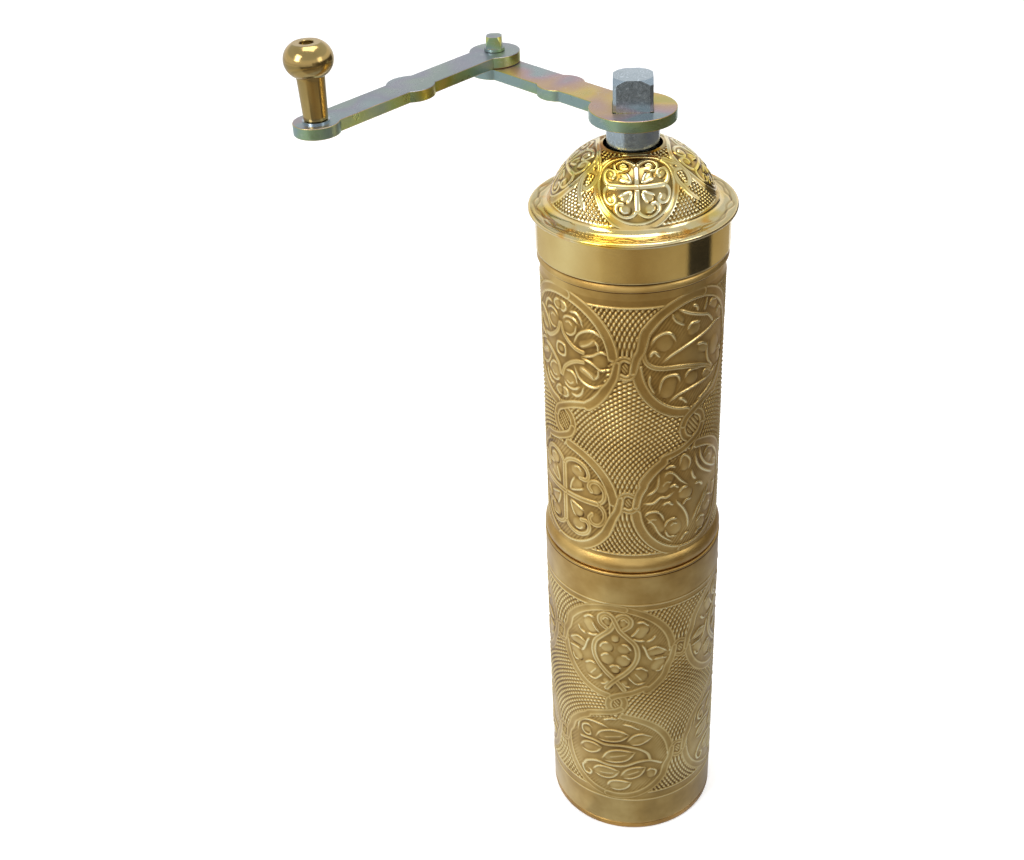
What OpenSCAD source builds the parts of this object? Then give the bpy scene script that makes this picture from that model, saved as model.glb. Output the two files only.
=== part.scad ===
// Turkish hand mill for coffee: a brass receiver cup, a brass casing that carries the
// burrs and the spindle, a domed lid and a folding crank with a ball knob.
// Millimetres, +Z up, origin in the middle of the flat foot.

/* [Receiver cup] */
// Outer diameter of the cup
cup_od = 50; // [46:0.5:58]
// Wall of the cup tube
cup_wall = 1; // [0.8:0.1:1.4]
// Height of the cup from its foot to its rim
cup_h = 102.3; // [90:0.1:125]
// Height of the base cap's rim, up to the seam
base_rim_h = 2.4; // [2:0.1:4]
// Thickness of the base disc
base_t = 1.2; // [0.8:0.1:1.6]
// Height of the base cap's upstand inside the tube
base_upstand = 4; // [2:0.5:8]
// Wall of the base cap's upstand
base_upstand_wall = 1; // [0.8:0.1:1.5]
// Chamfer round the foot
foot_chamfer = 0.6; // [0.2:0.1:0.9]

/* [Fits] */
// Radial slip clearance between tubes that pull apart
slip = 0.1; // [0.05:0.01:0.15]
// Radial running clearance of shafts and pins
run_gap = 0.05; // [0.02:0.01:0.09]
// Radial clearance of pieces fixed to each other
fix_gap = 0.03; // [0.01:0.01:0.05]
// Height left between faces that rest on each other
seat_gap = 0.1; // [0.05:0.01:0.2]

/* [Mill casing] */
// Wall of the casing tube
casing_wall = 1; // [0.8:0.1:1.2]
// Length of the plain spigot inside the cup
spigot_len = 22; // [21:0.5:26]
// Height of the rolled bead that rests on the cup
low_bead_h = 5; // [4.5:0.1:6]
// Rise of that bead
low_bead_rise = 1.1; // [0.8:0.1:1.3]
// Length of the ornamented barrel between the beads
barrel_len = 79.3; // [75:0.1:100]
// Height of the rolled bead below the lid
top_bead_h = 4.5; // [4:0.1:6]
// Rise of that bead
top_bead_rise = 0.7; // [0.5:0.1:1]
// Room between the casing's top edge and the lid's flange
neck_room = 0.6; // [0.3:0.1:2]

/* [Lid] */
// Sheet thickness of the dome and flange
lid_sheet = 0.8; // [0.6:0.1:1]
// Wall of the lid's skirt
skirt_wall = 0.8; // [0.6:0.1:1]
// Height of the lid's skirt
skirt_h = 10.6; // [8:0.1:14]
// Overhang of the flange past the skirt
flange_over = 1.6; // [1.6:0.1:3]
// Radius of the rolled lip round the flange
lip_r = 0.75; // [0.6:0.05:0.75]
// Radius of the dome's section
dome_radius = 18.9; // [18:0.1:20]
// Distance of the centre of that arc from the axis
dome_offset = 2.75; // [2:0.05:3.2]
// Height of the hole's rim above the flange's underside
dome_rise = 16; // [15:0.1:17]
// Radius of the hollow curve between dome and flange
dome_fillet = 2; // [1.5:0.1:2.4]
// Diameter of the hole that the spindle comes out of
lid_hole_d = 14.8; // [14.2:0.1:18]

/* [Spindle] */
// Diameter of the spindle's rod
rod_d = 8; // [7:0.1:9]
// Diameter of the collar under the crank
collar_d = 13.1; // [12.8:0.1:13.6]
// Length of that collar
collar_len = 30; // [26:0.5:34]
// Height of the crank's seat on the collar above the hole's rim
crank_seat = 6.2; // [4:0.1:9]
// Width across flats of the square that drives the crank
square_af = 9.7; // [9:0.1:10]
// Length of that square
square_len = 10.7; // [8:0.1:14]
// Diameter across the square's turned corners
square_corner_d = 12.6; // [12.2:0.1:12.7]
// Diameter of the flat on top of the square
square_top_d = 10.2; // [9:0.1:11]
// Height of the turned chamfer at the square's top
square_chamfer = 1.2; // [0.6:0.1:2]
// Width across flats of the square that drives the burr
burr_square_af = 5.6; // [5.2:0.1:6]
// Diameter of the threaded end below the burr
thread_d = 5; // [4.6:0.1:5.4]
// Length of the threaded end that shows below the nut
thread_end = 1; // [0.5:0.1:2]

/* [Upper bearing] */
// Distance of the strap's top below the casing's top edge
strap_depth = 20.8; // [18:0.1:30]
// Width of the strap
strap_w = 14; // [13:0.5:16]
// Thickness of the strap
strap_t = 2.5; // [2:0.1:3]
// Length of the strap's tabs down the wall
tab_h = 8; // [5:0.5:12]
// Outer diameter of the bush
bush_d = 11.6; // [11:0.1:12]
// Diameter of the bush's flange
bush_flange_d = 15.5; // [14:0.5:18]
// Thickness of the bush's flange
bush_flange_t = 1.5; // [1:0.1:2]
// Length of the bush below the strap
bush_below = 4; // [2:0.5:6]

/* [Load spring] */
// Diameter of the spring's wire
wire_d = 1.5; // [1.2:0.1:1.7]
// Mean diameter of the spring
spring_d = 14.2; // [14:0.1:15]
// Number of turns
spring_turns = 6; // [4:1:7]
// Length of the spring as fitted
spring_len = 28; // [24:0.5:32]
// Diameter of the spring's washer on the spindle
spring_washer_d = 18; // [17:0.5:20]
// Thickness of that washer
spring_washer_t = 1.5; // [1:0.1:2]
// Diameter of the cross pin below the washer
cross_pin_d = 2.5; // [2:0.1:3]
// Length of the cross pin
cross_pin_len = 15; // [13:0.5:17]

/* [Burrs] */
// Height of the fine grinding zone
grind_h = 12; // [11:0.1:13]
// Height of the feed zone above it
feed_h = 9; // [8:0.5:10]
// Diameter of the inner burr at its foot
burr_d = 30; // [29:0.1:31]
// Half angle of the grinding cone
burr_angle = 15; // [13:0.5:17]
// Radial gap between the burrs at rest
grind_gap = 0.3; // [0.25:0.01:0.5]
// Diameter of the inner burr's top
feed_top_d = 11; // [10:0.1:12]
// Width of the outer burr's flat rim round its funnel
funnel_rim = 1.9; // [1.4:0.1:3.5]
// Number of fine teeth on the inner burr
inner_teeth = 20; // [16:1:24]
// Number of fine teeth in the outer burr
outer_teeth = 18; // [14:1:22]
// Depth of the fine teeth
tooth_depth = 1.4; // [1:0.1:1.6]
// Width of the grooves between the fine teeth
groove_w = 3; // [2.4:0.1:3.2]
// Slant of the fine teeth
tooth_slant = 12; // [8:1:16]
// Number of coarse flutes in the feed zone
flutes = 5; // [4:1:6]
// Depth of the coarse flutes
flute_depth = 3; // [2.4:0.1:3.2]
// Width of the coarse flutes
flute_w = 6; // [5:0.1:7]
// Slant of the coarse flutes
flute_slant = 26; // [20:1:30]
// Number of screws that hold the outer burr
burr_screws_n = 3; // [3:1:4]
// Height of those screws above the outer burr's foot
burr_screw_z = 8; // [7:0.5:9]
// Bearing of the first of those screws
burr_screw_bearing = 30; // [0:5:60]
// Diameter of a small screw's shank
screw_d = 2.5; // [2:0.1:2.8]
// Diameter of a small screw's head
screw_head_d = 4; // [3.6:0.1:4.2]
// Height of a small screw's head
screw_head_h = 0.7; // [0.5:0.1:0.7]
// Length of a small screw
screw_len = 5; // [4:0.5:5.5]
// Thickness of the washer under the burr
burr_washer_t = 1; // [0.8:0.1:1.4]
// Diameter of that washer
burr_washer_d = 12; // [10:0.5:14]
// Width across flats of the nut under the burr
nut_af = 8; // [7.5:0.5:10]
// Height of that nut
nut_h = 4; // [3:0.1:5]

/* [Adjuster] */
// Diameter of the thrust ball
ball_d = 4; // [3.8:0.1:4.2]
// Depth of the pockets that hold the ball
ball_pocket = 0.8; // [0.6:0.1:1]
// Distance of the yoke's bridge below the outer burr
yoke_drop = 14; // [13:0.5:18]
// Width of the yoke
yoke_w = 12; // [11:0.5:13]
// Thickness of the yoke's strip
yoke_t = 1.8; // [1.6:0.1:2]
// Width of the yoke's feet outside its legs
yoke_foot = 4.1; // [3.9:0.1:4.3]
// Diameter of the yoke's threaded boss
boss_d = 12; // [11:0.5:13]
// Height of the boss above and below the bridge
boss_h = 3; // [2:0.1:4]
// Diameter of the adjusting screw
adjuster_d = 6; // [5.6:0.1:6.4]
// Room between the boss and the wings
wing_room = 3; // [2.5:0.1:5]
// Diameter of the hub of the wings
hub_d = 10; // [8:0.5:12]
// Height of the hub and the wings
wing_h = 7; // [5:0.5:9]
// Width from tip to tip of the wings
wing_span = 26; // [22:0.5:30]
// Thickness of the wings
wing_t = 3; // [2:0.5:4]

/* [Crank] */
// Thickness of both arms
arm_t = 2.9; // [2.5:0.05:3.5]
// Distance from the spindle to the pivot
inner_len = 51.1; // [48:0.1:60]
// Distance from the pivot to the knob
outer_len = 63; // [60:0.1:70]
// Bearing of the inner arm round the spindle
inner_bearing = 135.5; // [130:0.1:140]
// Bearing of the outer arm from the pivot
outer_bearing = 232.9; // [230:0.1:240]
// Diameter of the eye round the square
eye_d = 21.6; // [20:0.1:23]
// Diameter of both arms' round ends at the pivot
pivot_end_d = 13.4; // [12:0.1:15]
// Diameter of the round end under the knob
knob_end_d = 11.4; // [10.5:0.1:13]
// Width of the inner arm's waist
inner_waist = 9.3; // [8:0.1:10]
// Width of the outer arm's waist
outer_waist = 8.5; // [7.5:0.1:9.5]
// Diameter of the round swelling in the middle of each arm
swell_d = 12.4; // [11:0.1:14]
// Diameter of the pivot pin
pivot_d = 4; // [3.5:0.1:4.4]
// Diameter of the pivot pin's flange
pivot_flange_d = 5.4; // [5.1:0.1:6.5]
// Height of that flange
pivot_flange_h = 0.8; // [0.5:0.1:1.2]
// Width across flats of the pivot pin's square head
pivot_head_af = 4; // [3.5:0.1:4.4]
// Height of that head
pivot_head_h = 3; // [2:0.1:4]
// Diameter that the head is turned to at its foot
pivot_head_foot_d = 6; // [5:0.1:6.4]
// Diameter that the head is turned to at its top
pivot_head_top_d = 4.4; // [3.8:0.1:5]
// Diameter of the rivet heads under the arms
rivet_d = 6; // [5.6:0.1:7]
// Height of the rivet heads
rivet_h = 0.7; // [0.5:0.1:1]

/* [Knob] */
// Height of the knob
knob_h = 18.2; // [16:0.1:22]
// Diameter of the knob's ball
knob_d = 11.8; // [11:0.1:14]
// Radius of the ball's side
knob_curve = 4.3; // [4:0.1:4.8]
// Depth of the flat on top of the ball
knob_flat = 0.4; // [0.2:0.1:0.8]
// Diameter of the stem below the ball
stem_top_d = 6.8; // [6:0.1:8]
// Diameter of the stem at its foot
stem_foot_d = 5.9; // [5.4:0.1:7]
// Diameter of the pin that the knob turns on
knob_pin_d = 2.5; // [2.2:0.1:2.8]
// Diameter of the recess in the knob's top
recess_d = 3.4; // [3.2:0.1:4]
// Depth of that recess
recess_h = 2.5; // [2:0.1:4]
// Height of the pin's head in the recess
pin_head_h = 1.1; // [0.8:0.1:1.5]
// Diameter of the washer under the knob
knob_washer_d = 6.6; // [6.2:0.1:8]
// Thickness of that washer
knob_washer_t = 0.4; // [0.3:0.1:0.8]

/* [Hidden] */
$fn = 96;
// Overshoot of a cut past the face it opens
over = 1;

// Radii and heights of the tubes
cup_r = cup_od / 2;
cup_ri = cup_r - cup_wall;
casing_r = cup_ri - slip;
casing_ri = casing_r - casing_wall;
bore_r = casing_ri - fix_gap;
low_bead_z = cup_h + seat_gap;
spigot_z = low_bead_z - spigot_len;
barrel_z = low_bead_z + low_bead_h;
top_bead_z = barrel_z + barrel_len;
neck_z = top_bead_z + top_bead_h;
skirt_z = neck_z + seat_gap;
flange_z = skirt_z + skirt_h;
casing_top = flange_z - neck_room;
skirt_ri = casing_r + slip;
skirt_r = skirt_ri + skirt_wall;

// Heights of the lid's dome
lid_hole_r = lid_hole_d / 2;
dome_reach = lid_hole_r - dome_offset;
dome_z = flange_z + dome_rise - sqrt(dome_radius * dome_radius - dome_reach * dome_reach);
fillet_z = flange_z + lid_sheet + dome_fillet;
fillet_lift = fillet_z - dome_z;
fillet_span = dome_radius + dome_fillet;
fillet_x = dome_offset + sqrt(fillet_span * fillet_span - fillet_lift * fillet_lift);
rim_z = flange_z + dome_rise;

// Heights along the spindle
rod_r = rod_d / 2;
burr_z = spigot_z;
feed_z = burr_z + grind_h;
burr_top = feed_z + feed_h;
collar_top = rim_z + crank_seat;
collar_z = collar_top - collar_len;
square_top = collar_top + square_len;
nut_z = burr_z - burr_washer_t - nut_h;
spindle_end = nut_z - thread_end;
nut_sides = 6;
// Turn of the square's flats from the line of the inner arm
square_turn = 45;
square_bearing = inner_bearing + square_turn;

// Heights of the upper bearing and the spring
strap_top = casing_top - strap_depth;
strap_z = strap_top - strap_t;
washer_top = strap_z - spring_len;
washer_z = washer_top - spring_washer_t;
cross_pin_z = washer_z - cross_pin_d / 2;

// Radii of the grinding cones
burr_r = burr_d / 2;
burr_taper = tan(burr_angle);
grind_top_r = burr_r - grind_h * burr_taper;
grind_mid_r = burr_r - grind_h / 2 * burr_taper;
feed_mid_r = (grind_top_r + feed_top_d / 2) / 2;
feed_slope = atan((grind_top_r - feed_top_d / 2) / feed_h);
funnel_r = bore_r - funnel_rim;
// Lengths of the groove cutters, which run past the ends of their cones
groove_past = 3;
flute_past = 5.3;
groove_len = grind_h / cos(burr_angle) + 2 * groove_past;
flute_len = feed_h / cos(feed_slope) + 2 * flute_past;
// Share of a groove's width from its middle to its bottom edge, which makes it a saw tooth
groove_lean = 1 / 4;

// Heights of the adjuster
ball_r = ball_d / 2;
ball_z = spindle_end - ball_r + ball_pocket;
adjuster_top = ball_z - ball_r + ball_pocket;
bridge_top = burr_z - yoke_drop;
boss_z = bridge_top - yoke_t - boss_h;
hub_top = boss_z - wing_room;
hub_z = hub_top - wing_h;
yoke_leg = bore_r - yoke_foot - yoke_t;
yoke_screw_x = yoke_leg + yoke_t + screw_head_d / 2 + seat_gap;

// Heights and places of the crank
inner_z = collar_top;
outer_z = inner_z + arm_t + seat_gap;
outer_top = outer_z + arm_t;
pivot_at = [inner_len * cos(inner_bearing), inner_len * sin(inner_bearing), 0];
knob_at = pivot_at + [outer_len * cos(outer_bearing), outer_len * sin(outer_bearing), 0];
pin_flange_z = outer_top + seat_gap;
knob_washer_z = outer_top;
knob_z = knob_washer_z + knob_washer_t + seat_gap;
knob_ball_z = knob_h - knob_curve + knob_flat;
knob_ball_x = knob_d / 2 - knob_curve;

// Colours of the pieces
brass = "#b8954a";
bright_brass = "#d2ab52";
zinc = "#a9adb0";
yellow_zinc = "#b5a878";
iron = "#55524e";

// A round tube from its foot up
module tube(r_out, r_in, h) {
    difference() {
        cylinder(r = r_out, h = h);
        translate([0, 0, -over]) cylinder(r = r_in, h = h + 2 * over);
    }
}

// A round piece with a hole right through
module washer(d_out, d_in, h) {
    tube(d_out / 2, d_in / 2, h);
}

// A square bar standing on its end, width across flats af
module square_bar(af, h) {
    translate([-af / 2, -af / 2, 0]) cube([af, af, h]);
}

// Places its children n times round the axis
module around(n, start = 0) {
    for (i = [0 : n - 1]) rotate(start + i * 360 / n) children();
}

// Section of a rolled bead on the casing, drawn smaller by inset for its hollow side
module bead_section(z, h, rise, inset) {
    bead_r = (h * h / 4 + rise * rise) / (2 * rise);
    intersection() {
        translate([casing_r + rise - bead_r, z + h / 2]) circle(r = bead_r - inset);
        translate([inset > 0 ? 0 : casing_ri, z - over]) square([cup_od, h + 2 * over]);
    }
}

module casing_section() {
    difference() {
        union() {
            translate([casing_ri, spigot_z]) square([casing_wall, casing_top - spigot_z]);
            bead_section(low_bead_z, low_bead_h, low_bead_rise, 0);
            bead_section(top_bead_z, top_bead_h, top_bead_rise, 0);
        }
        bead_section(low_bead_z, low_bead_h, low_bead_rise, casing_wall);
        bead_section(top_bead_z, top_bead_h, top_bead_rise, casing_wall);
    }
}

// Section of the lid: dome, hollow fillet, flange and rolled lip, all of one sheet
module lid_section() {
    dome_centre = [dome_offset, dome_z];
    fillet_centre = [fillet_x, fillet_z];
    to_dome = (dome_centre - fillet_centre) / norm(dome_centre - fillet_centre);
    tangent = dome_centre - to_dome * 2 * dome_radius;
    reach = 4 * dome_fillet + lid_sheet;
    lip_x = skirt_r + flange_over - lip_r;
    intersection() {
        difference() {
            translate(dome_centre) circle(r = dome_radius, $fn = 180);
            translate(dome_centre) circle(r = dome_radius - lid_sheet, $fn = 180);
        }
        polygon([
            dome_centre,
            tangent,
            [tangent[0], rim_z + dome_radius],
            [lid_hole_r, rim_z + dome_radius],
            [lid_hole_r, dome_z]
        ]);
    }
    intersection() {
        difference() {
            translate(fillet_centre) circle(r = dome_fillet + lid_sheet);
            translate(fillet_centre) circle(r = dome_fillet);
        }
        polygon([
            fillet_centre,
            fillet_centre + reach * to_dome,
            fillet_centre + reach * (to_dome + [0, -1]),
            fillet_centre + [0, -reach]
        ]);
    }
    translate([fillet_x, flange_z]) square([lip_x - fillet_x, lid_sheet]);
    translate([lip_x, flange_z + lid_sheet - lip_r]) circle(r = lip_r, $fn = 48);
}

// Cutter for a slanted saw-tooth groove along a cone; depth is negative on an inner cone
module groove(mid_r, mid_z, cone, slant, depth, w, len) {
    side = sign(depth);
    translate([mid_r, 0, mid_z])
        rotate([0, -cone, 0])
            rotate([slant, 0, 0])
                linear_extrude(len, center = true)
                    polygon([[-side * over, -w / 2], [-side * over, w / 2], [depth, w * groove_lean]]);
}

// Plan of a stamped crank arm along +X: round ends, a waist and a round swelling half way
module arm_plan(len, root_d, tip_d, waist) {
    circle(d = root_d);
    translate([len, 0]) circle(d = tip_d);
    translate([len / 2, 0]) circle(d = swell_d);
    translate([0, -waist / 2]) square([len, waist]);
}

// Small cheese-head screw along +Z, its head below z = 0
module small_screw() {
    translate([0, 0, -screw_head_h]) cylinder(d = screw_head_d, h = screw_head_h);
    cylinder(d = screw_d, h = screw_len);
}

// Places its children at the burr's screws, their +Z pointing at the axis
module at_burr_screws() {
    around(burr_screws_n, burr_screw_bearing)
        translate([casing_ri, 0, burr_z + burr_screw_z])
            rotate([0, -90, 0])
                children();
}

// Places its children at the yoke's two screws, under its feet
module at_yoke_screws() {
    for (side = [-1, 1]) translate([side * yoke_screw_x, 0, burr_z - yoke_t]) children();
}

module cup_tube() {
    color(brass) translate([0, 0, base_rim_h]) tube(cup_r, cup_ri, cup_h - base_rim_h);
}

module cup_base() {
    upstand_r = cup_ri - fix_gap;
    color(brass)
        rotate_extrude()
            polygon([
                [0, 0],
                [cup_r - foot_chamfer, 0],
                [cup_r, foot_chamfer],
                [cup_r, base_rim_h],
                [upstand_r, base_rim_h],
                [upstand_r, base_rim_h + base_upstand],
                [upstand_r - base_upstand_wall, base_rim_h + base_upstand],
                [upstand_r - base_upstand_wall, base_t],
                [0, base_t]
            ]);
}

module casing_tube() {
    color(brass)
        difference() {
            rotate_extrude() casing_section();
            at_burr_screws()
                translate([0, 0, -casing_wall - over])
                    cylinder(d = screw_head_d + 2 * fix_gap, h = casing_wall + 2 * over);
        }
}

module bearing_strap() {
    color(zinc)
        difference() {
            intersection() {
                union() {
                    translate([0, 0, strap_z]) cylinder(r = bore_r, h = strap_t);
                    translate([0, 0, strap_z - tab_h]) tube(bore_r, bore_r - strap_t, tab_h + strap_t);
                }
                translate([-strap_w / 2, -cup_od, strap_z - tab_h])
                    cube([strap_w, 2 * cup_od, tab_h + strap_t]);
            }
            translate([0, 0, strap_z - over]) cylinder(d = bush_d + 2 * fix_gap, h = strap_t + 2 * over);
        }
}

module strap_bush() {
    bush_r = bush_d / 2;
    flange_r = bush_flange_d / 2;
    hole_r = rod_r + run_gap;
    color(bright_brass)
        rotate_extrude()
            polygon([
                [hole_r, strap_z - bush_below],
                [bush_r, strap_z - bush_below],
                [bush_r, strap_top],
                [flange_r, strap_top],
                [flange_r, strap_top + bush_flange_t],
                [hole_r, strap_top + bush_flange_t]
            ]);
}

module outer_burr() {
    funnel_z = feed_z;
    color(iron)
        difference() {
            translate([0, 0, burr_z]) cylinder(r = bore_r, h = grind_h + feed_h);
            translate([0, 0, burr_z - over])
                cylinder(
                    r1 = burr_r + grind_gap + over * burr_taper,
                    r2 = grind_top_r + grind_gap - over * burr_taper,
                    h = grind_h + 2 * over
                );
            translate([0, 0, funnel_z])
                cylinder(r1 = grind_top_r + grind_gap, r2 = funnel_r, h = feed_h);
            around(outer_teeth)
                groove(
                    grind_mid_r + grind_gap,
                    burr_z + grind_h / 2,
                    burr_angle,
                    tooth_slant,
                    tooth_depth,
                    groove_w,
                    groove_len
                );
            at_burr_screws() cylinder(d = screw_d + 2 * fix_gap, h = screw_len + over);
            at_yoke_screws() cylinder(d = screw_d + 2 * fix_gap, h = screw_len + over);
        }
}

module burr_screws() {
    color(zinc) at_burr_screws() small_screw();
}

module lower_yoke() {
    color(zinc)
        difference() {
            union() {
                intersection() {
                    rotate([90, 0, 0]) linear_extrude(yoke_w, center = true) yoke_section();
                    translate([0, 0, bridge_top - yoke_t])
                        cylinder(r = bore_r, h = burr_z - bridge_top + yoke_t);
                }
                translate([0, 0, boss_z]) cylinder(d = boss_d, h = yoke_t + 2 * boss_h);
            }
            translate([0, 0, boss_z - over])
                cylinder(r = adjuster_d / 2 + run_gap, h = yoke_t + 2 * boss_h + 2 * over);
            at_yoke_screws()
                translate([0, 0, -over]) cylinder(d = screw_d + 2 * fix_gap, h = yoke_t + 2 * over);
        }
}

// Side view of the yoke's bent strip: bridge, two legs and two feet
module yoke_section() {
    leg_out = yoke_leg + yoke_t;
    translate([-leg_out, bridge_top - yoke_t]) square([2 * leg_out, yoke_t]);
    for (side = [0, 1])
        mirror([side, 0]) {
            translate([yoke_leg, bridge_top - yoke_t]) square([yoke_t, burr_z - bridge_top + yoke_t]);
            translate([yoke_leg, burr_z - yoke_t]) square([yoke_t + yoke_foot, yoke_t]);
        }
}

module yoke_screws() {
    color(zinc) at_yoke_screws() small_screw();
}

module lid_dome() {
    color(bright_brass) rotate_extrude() lid_section();
}

module lid_skirt() {
    color(bright_brass) translate([0, 0, skirt_z]) tube(skirt_r, skirt_ri, skirt_h);
}

// Points and rings of the spring's wire
rings_per_turn = 8;
wire_sides = 6;
spring_r = spring_d / 2;
spring_rise = spring_len - wire_d - 2 * seat_gap;
spring_low = washer_top + wire_d / 2 + seat_gap;
coil_steps = spring_turns * rings_per_turn;

function coil_angle(i) = 360 * i / rings_per_turn;
function coil_point(i) =
    [spring_r * cos(coil_angle(i)), spring_r * sin(coil_angle(i)), spring_low + spring_rise * i / coil_steps];
function coil_tangent(i) = [-sin(coil_angle(i)), cos(coil_angle(i)), 0];

// The wire's ends run straight on for one wire diameter
wire_path = concat(
    [[coil_point(0) - wire_d * coil_tangent(0), 0]],
    [for (i = [0 : coil_steps]) [coil_point(i), i]],
    [[coil_point(coil_steps) + wire_d * coil_tangent(coil_steps), coil_steps]]
);
wire_points = [
    for (step = wire_path)
        for (side = [0 : wire_sides - 1])
            let(turn = coil_angle(step[1]), lean = 360 * side / wire_sides)
                step[0] + wire_d / 2 * [cos(lean) * cos(turn), cos(lean) * sin(turn), sin(lean)]
];
wire_last = (len(wire_path) - 1) * wire_sides;
wire_faces = concat(
    [for (side = [1 : wire_sides - 2]) [0, side, side + 1]],
    [
        for (ring = [0 : len(wire_path) - 2])
            for (side = [0 : wire_sides - 1])
                for (half = [0, 1])
                    let(
                        low = ring * wire_sides,
                        next = (side + 1) % wire_sides,
                        a = low + side,
                        b = low + next,
                        c = a + wire_sides,
                        d = b + wire_sides
                    )
                        half == 0 ? [a, c, b] : [b, c, d]
    ],
    [for (side = [1 : wire_sides - 2]) [wire_last, wire_last + side + 1, wire_last + side]]
);
// Least gap between one turn of the spring and the rest of it
spring_self_gap = min([
    for (i = [0 : len(wire_path) - 1])
        for (j = [i + rings_per_turn / 2 : 1 : len(wire_path) - 1])
            norm(wire_path[i][0] - wire_path[j][0]) - wire_d
]);
echo(load_spring_least_gap = spring_self_gap);

module load_spring() {
    color(zinc) polyhedron(points = wire_points, faces = wire_faces);
}

module thrust_ball() {
    color(zinc) translate([0, 0, ball_z]) sphere(r = ball_r);
}

module adjusting_screw() {
    color(zinc)
        difference() {
            translate([0, 0, hub_z]) cylinder(d = adjuster_d, h = adjuster_top - hub_z);
            translate([0, 0, ball_z]) sphere(r = ball_r + run_gap);
        }
}

module adjuster_wings() {
    color(brass)
        translate([0, 0, hub_z])
            difference() {
                union() {
                    cylinder(d = hub_d, h = wing_h);
                    for (side = [0, 180]) rotate(side) wing();
                }
                translate([0, 0, -over]) cylinder(d = adjuster_d + 2 * fix_gap, h = wing_h + 2 * over);
            }
}

// One rounded wing of the adjusting screw, along +X
module wing() {
    wing_r = wing_h / 2;
    wing_root = (adjuster_d + wing_t) / 2;
    wing_mid = wing_span / 2 - wing_r;
    rotate([90, 0, 0])
        linear_extrude(wing_t, center = true) {
            translate([wing_root, 0]) square([wing_mid - wing_root, wing_h]);
            translate([wing_mid, wing_r]) circle(r = wing_r);
        }
}

module drive_spindle() {
    color(zinc)
        difference() {
            union() {
                crank_square();
                translate([0, 0, collar_z]) cylinder(d = collar_d, h = collar_len);
                translate([0, 0, burr_top]) cylinder(r = rod_r, h = collar_top - burr_top);
                translate([0, 0, burr_z]) square_bar(burr_square_af, burr_top - burr_z + over);
                translate([0, 0, spindle_end]) cylinder(d = thread_d, h = burr_top - spindle_end);
            }
            translate([0, 0, ball_z]) sphere(r = ball_r + run_gap);
            at_cross_pin(fix_gap, over);
        }
}

// The spindle's square end, with turned corners and a turned chamfer
module crank_square() {
    turned_r = square_corner_d / 2;
    intersection() {
        rotate(square_bearing) translate([0, 0, collar_z]) square_bar(square_af, collar_len + square_len);
        union() {
            translate([0, 0, collar_z]) cylinder(r = turned_r, h = collar_len + square_len - square_chamfer);
            translate([0, 0, square_top - square_chamfer])
                cylinder(r1 = turned_r, r2 = square_top_d / 2, h = square_chamfer);
        }
    }
}

// The cross pin, grown by a clearance all round and past its ends
module at_cross_pin(gap, past) {
    translate([0, 0, cross_pin_z])
        rotate([0, 90, 0])
            cylinder(d = cross_pin_d + 2 * gap, h = cross_pin_len + 2 * past, center = true);
}

module spring_washer() {
    color(zinc) translate([0, 0, washer_z]) washer(spring_washer_d, rod_d + 2 * fix_gap, spring_washer_t);
}

module cross_pin() {
    color(zinc) at_cross_pin(0, 0);
}

module inner_burr() {
    color(iron)
        difference() {
            union() {
                translate([0, 0, burr_z]) cylinder(r1 = burr_r, r2 = grind_top_r, h = grind_h);
                translate([0, 0, feed_z]) cylinder(r1 = grind_top_r, r2 = feed_top_d / 2, h = feed_h);
            }
            translate([0, 0, burr_z - over])
                square_bar(burr_square_af + 2 * fix_gap, burr_top - burr_z + 2 * over);
            around(inner_teeth)
                groove(
                    grind_mid_r,
                    burr_z + grind_h / 2,
                    burr_angle,
                    -tooth_slant,
                    -tooth_depth,
                    groove_w,
                    groove_len
                );
            around(flutes)
                groove(
                    feed_mid_r,
                    feed_z + feed_h / 2,
                    feed_slope,
                    -flute_slant,
                    -flute_depth,
                    flute_w,
                    flute_len
                );
        }
}

module burr_washer() {
    color(zinc)
        translate([0, 0, burr_z - burr_washer_t])
            washer(burr_washer_d, thread_d + 2 * fix_gap, burr_washer_t);
}

module burr_nut() {
    color(zinc)
        translate([0, 0, nut_z])
            difference() {
                cylinder(d = nut_af / cos(180 / nut_sides), h = nut_h, $fn = nut_sides);
                translate([0, 0, -over]) cylinder(d = thread_d + 2 * fix_gap, h = nut_h + 2 * over);
            }
}

module crank_inner_arm() {
    hole_af = square_af + 2 * run_gap;
    color(yellow_zinc)
        translate([0, 0, inner_z])
            rotate(inner_bearing)
                linear_extrude(arm_t)
                    difference() {
                        arm_plan(inner_len, eye_d, pivot_end_d, inner_waist);
                        rotate(square_turn) square(hole_af, center = true);
                        translate([inner_len, 0]) circle(d = pivot_d + 2 * fix_gap);
                    }
}

module pivot_pin() {
    head_z = pin_flange_z + pivot_flange_h;
    color(yellow_zinc)
        translate(pivot_at) {
            translate([0, 0, inner_z - rivet_h]) cylinder(d = rivet_d, h = rivet_h);
            translate([0, 0, inner_z]) cylinder(d = pivot_d, h = pin_flange_z - inner_z);
            translate([0, 0, pin_flange_z]) cylinder(d = pivot_flange_d, h = pivot_flange_h);
            intersection() {
                translate([0, 0, head_z]) square_bar(pivot_head_af, pivot_head_h);
                translate([0, 0, head_z])
                    cylinder(d1 = pivot_head_foot_d, d2 = pivot_head_top_d, h = pivot_head_h);
            }
        }
}

module crank_outer_arm() {
    color(yellow_zinc)
        translate(pivot_at + [0, 0, outer_z])
            rotate(outer_bearing)
                linear_extrude(arm_t)
                    difference() {
                        arm_plan(outer_len, pivot_end_d, knob_end_d, outer_waist);
                        circle(d = pivot_d + 2 * run_gap);
                        translate([outer_len, 0]) circle(d = knob_pin_d + 2 * fix_gap);
                    }
}

module knob_washer() {
    color(zinc)
        translate(knob_at + [0, 0, knob_washer_z])
            washer(knob_washer_d, knob_pin_d + 2 * fix_gap, knob_washer_t);
}

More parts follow.
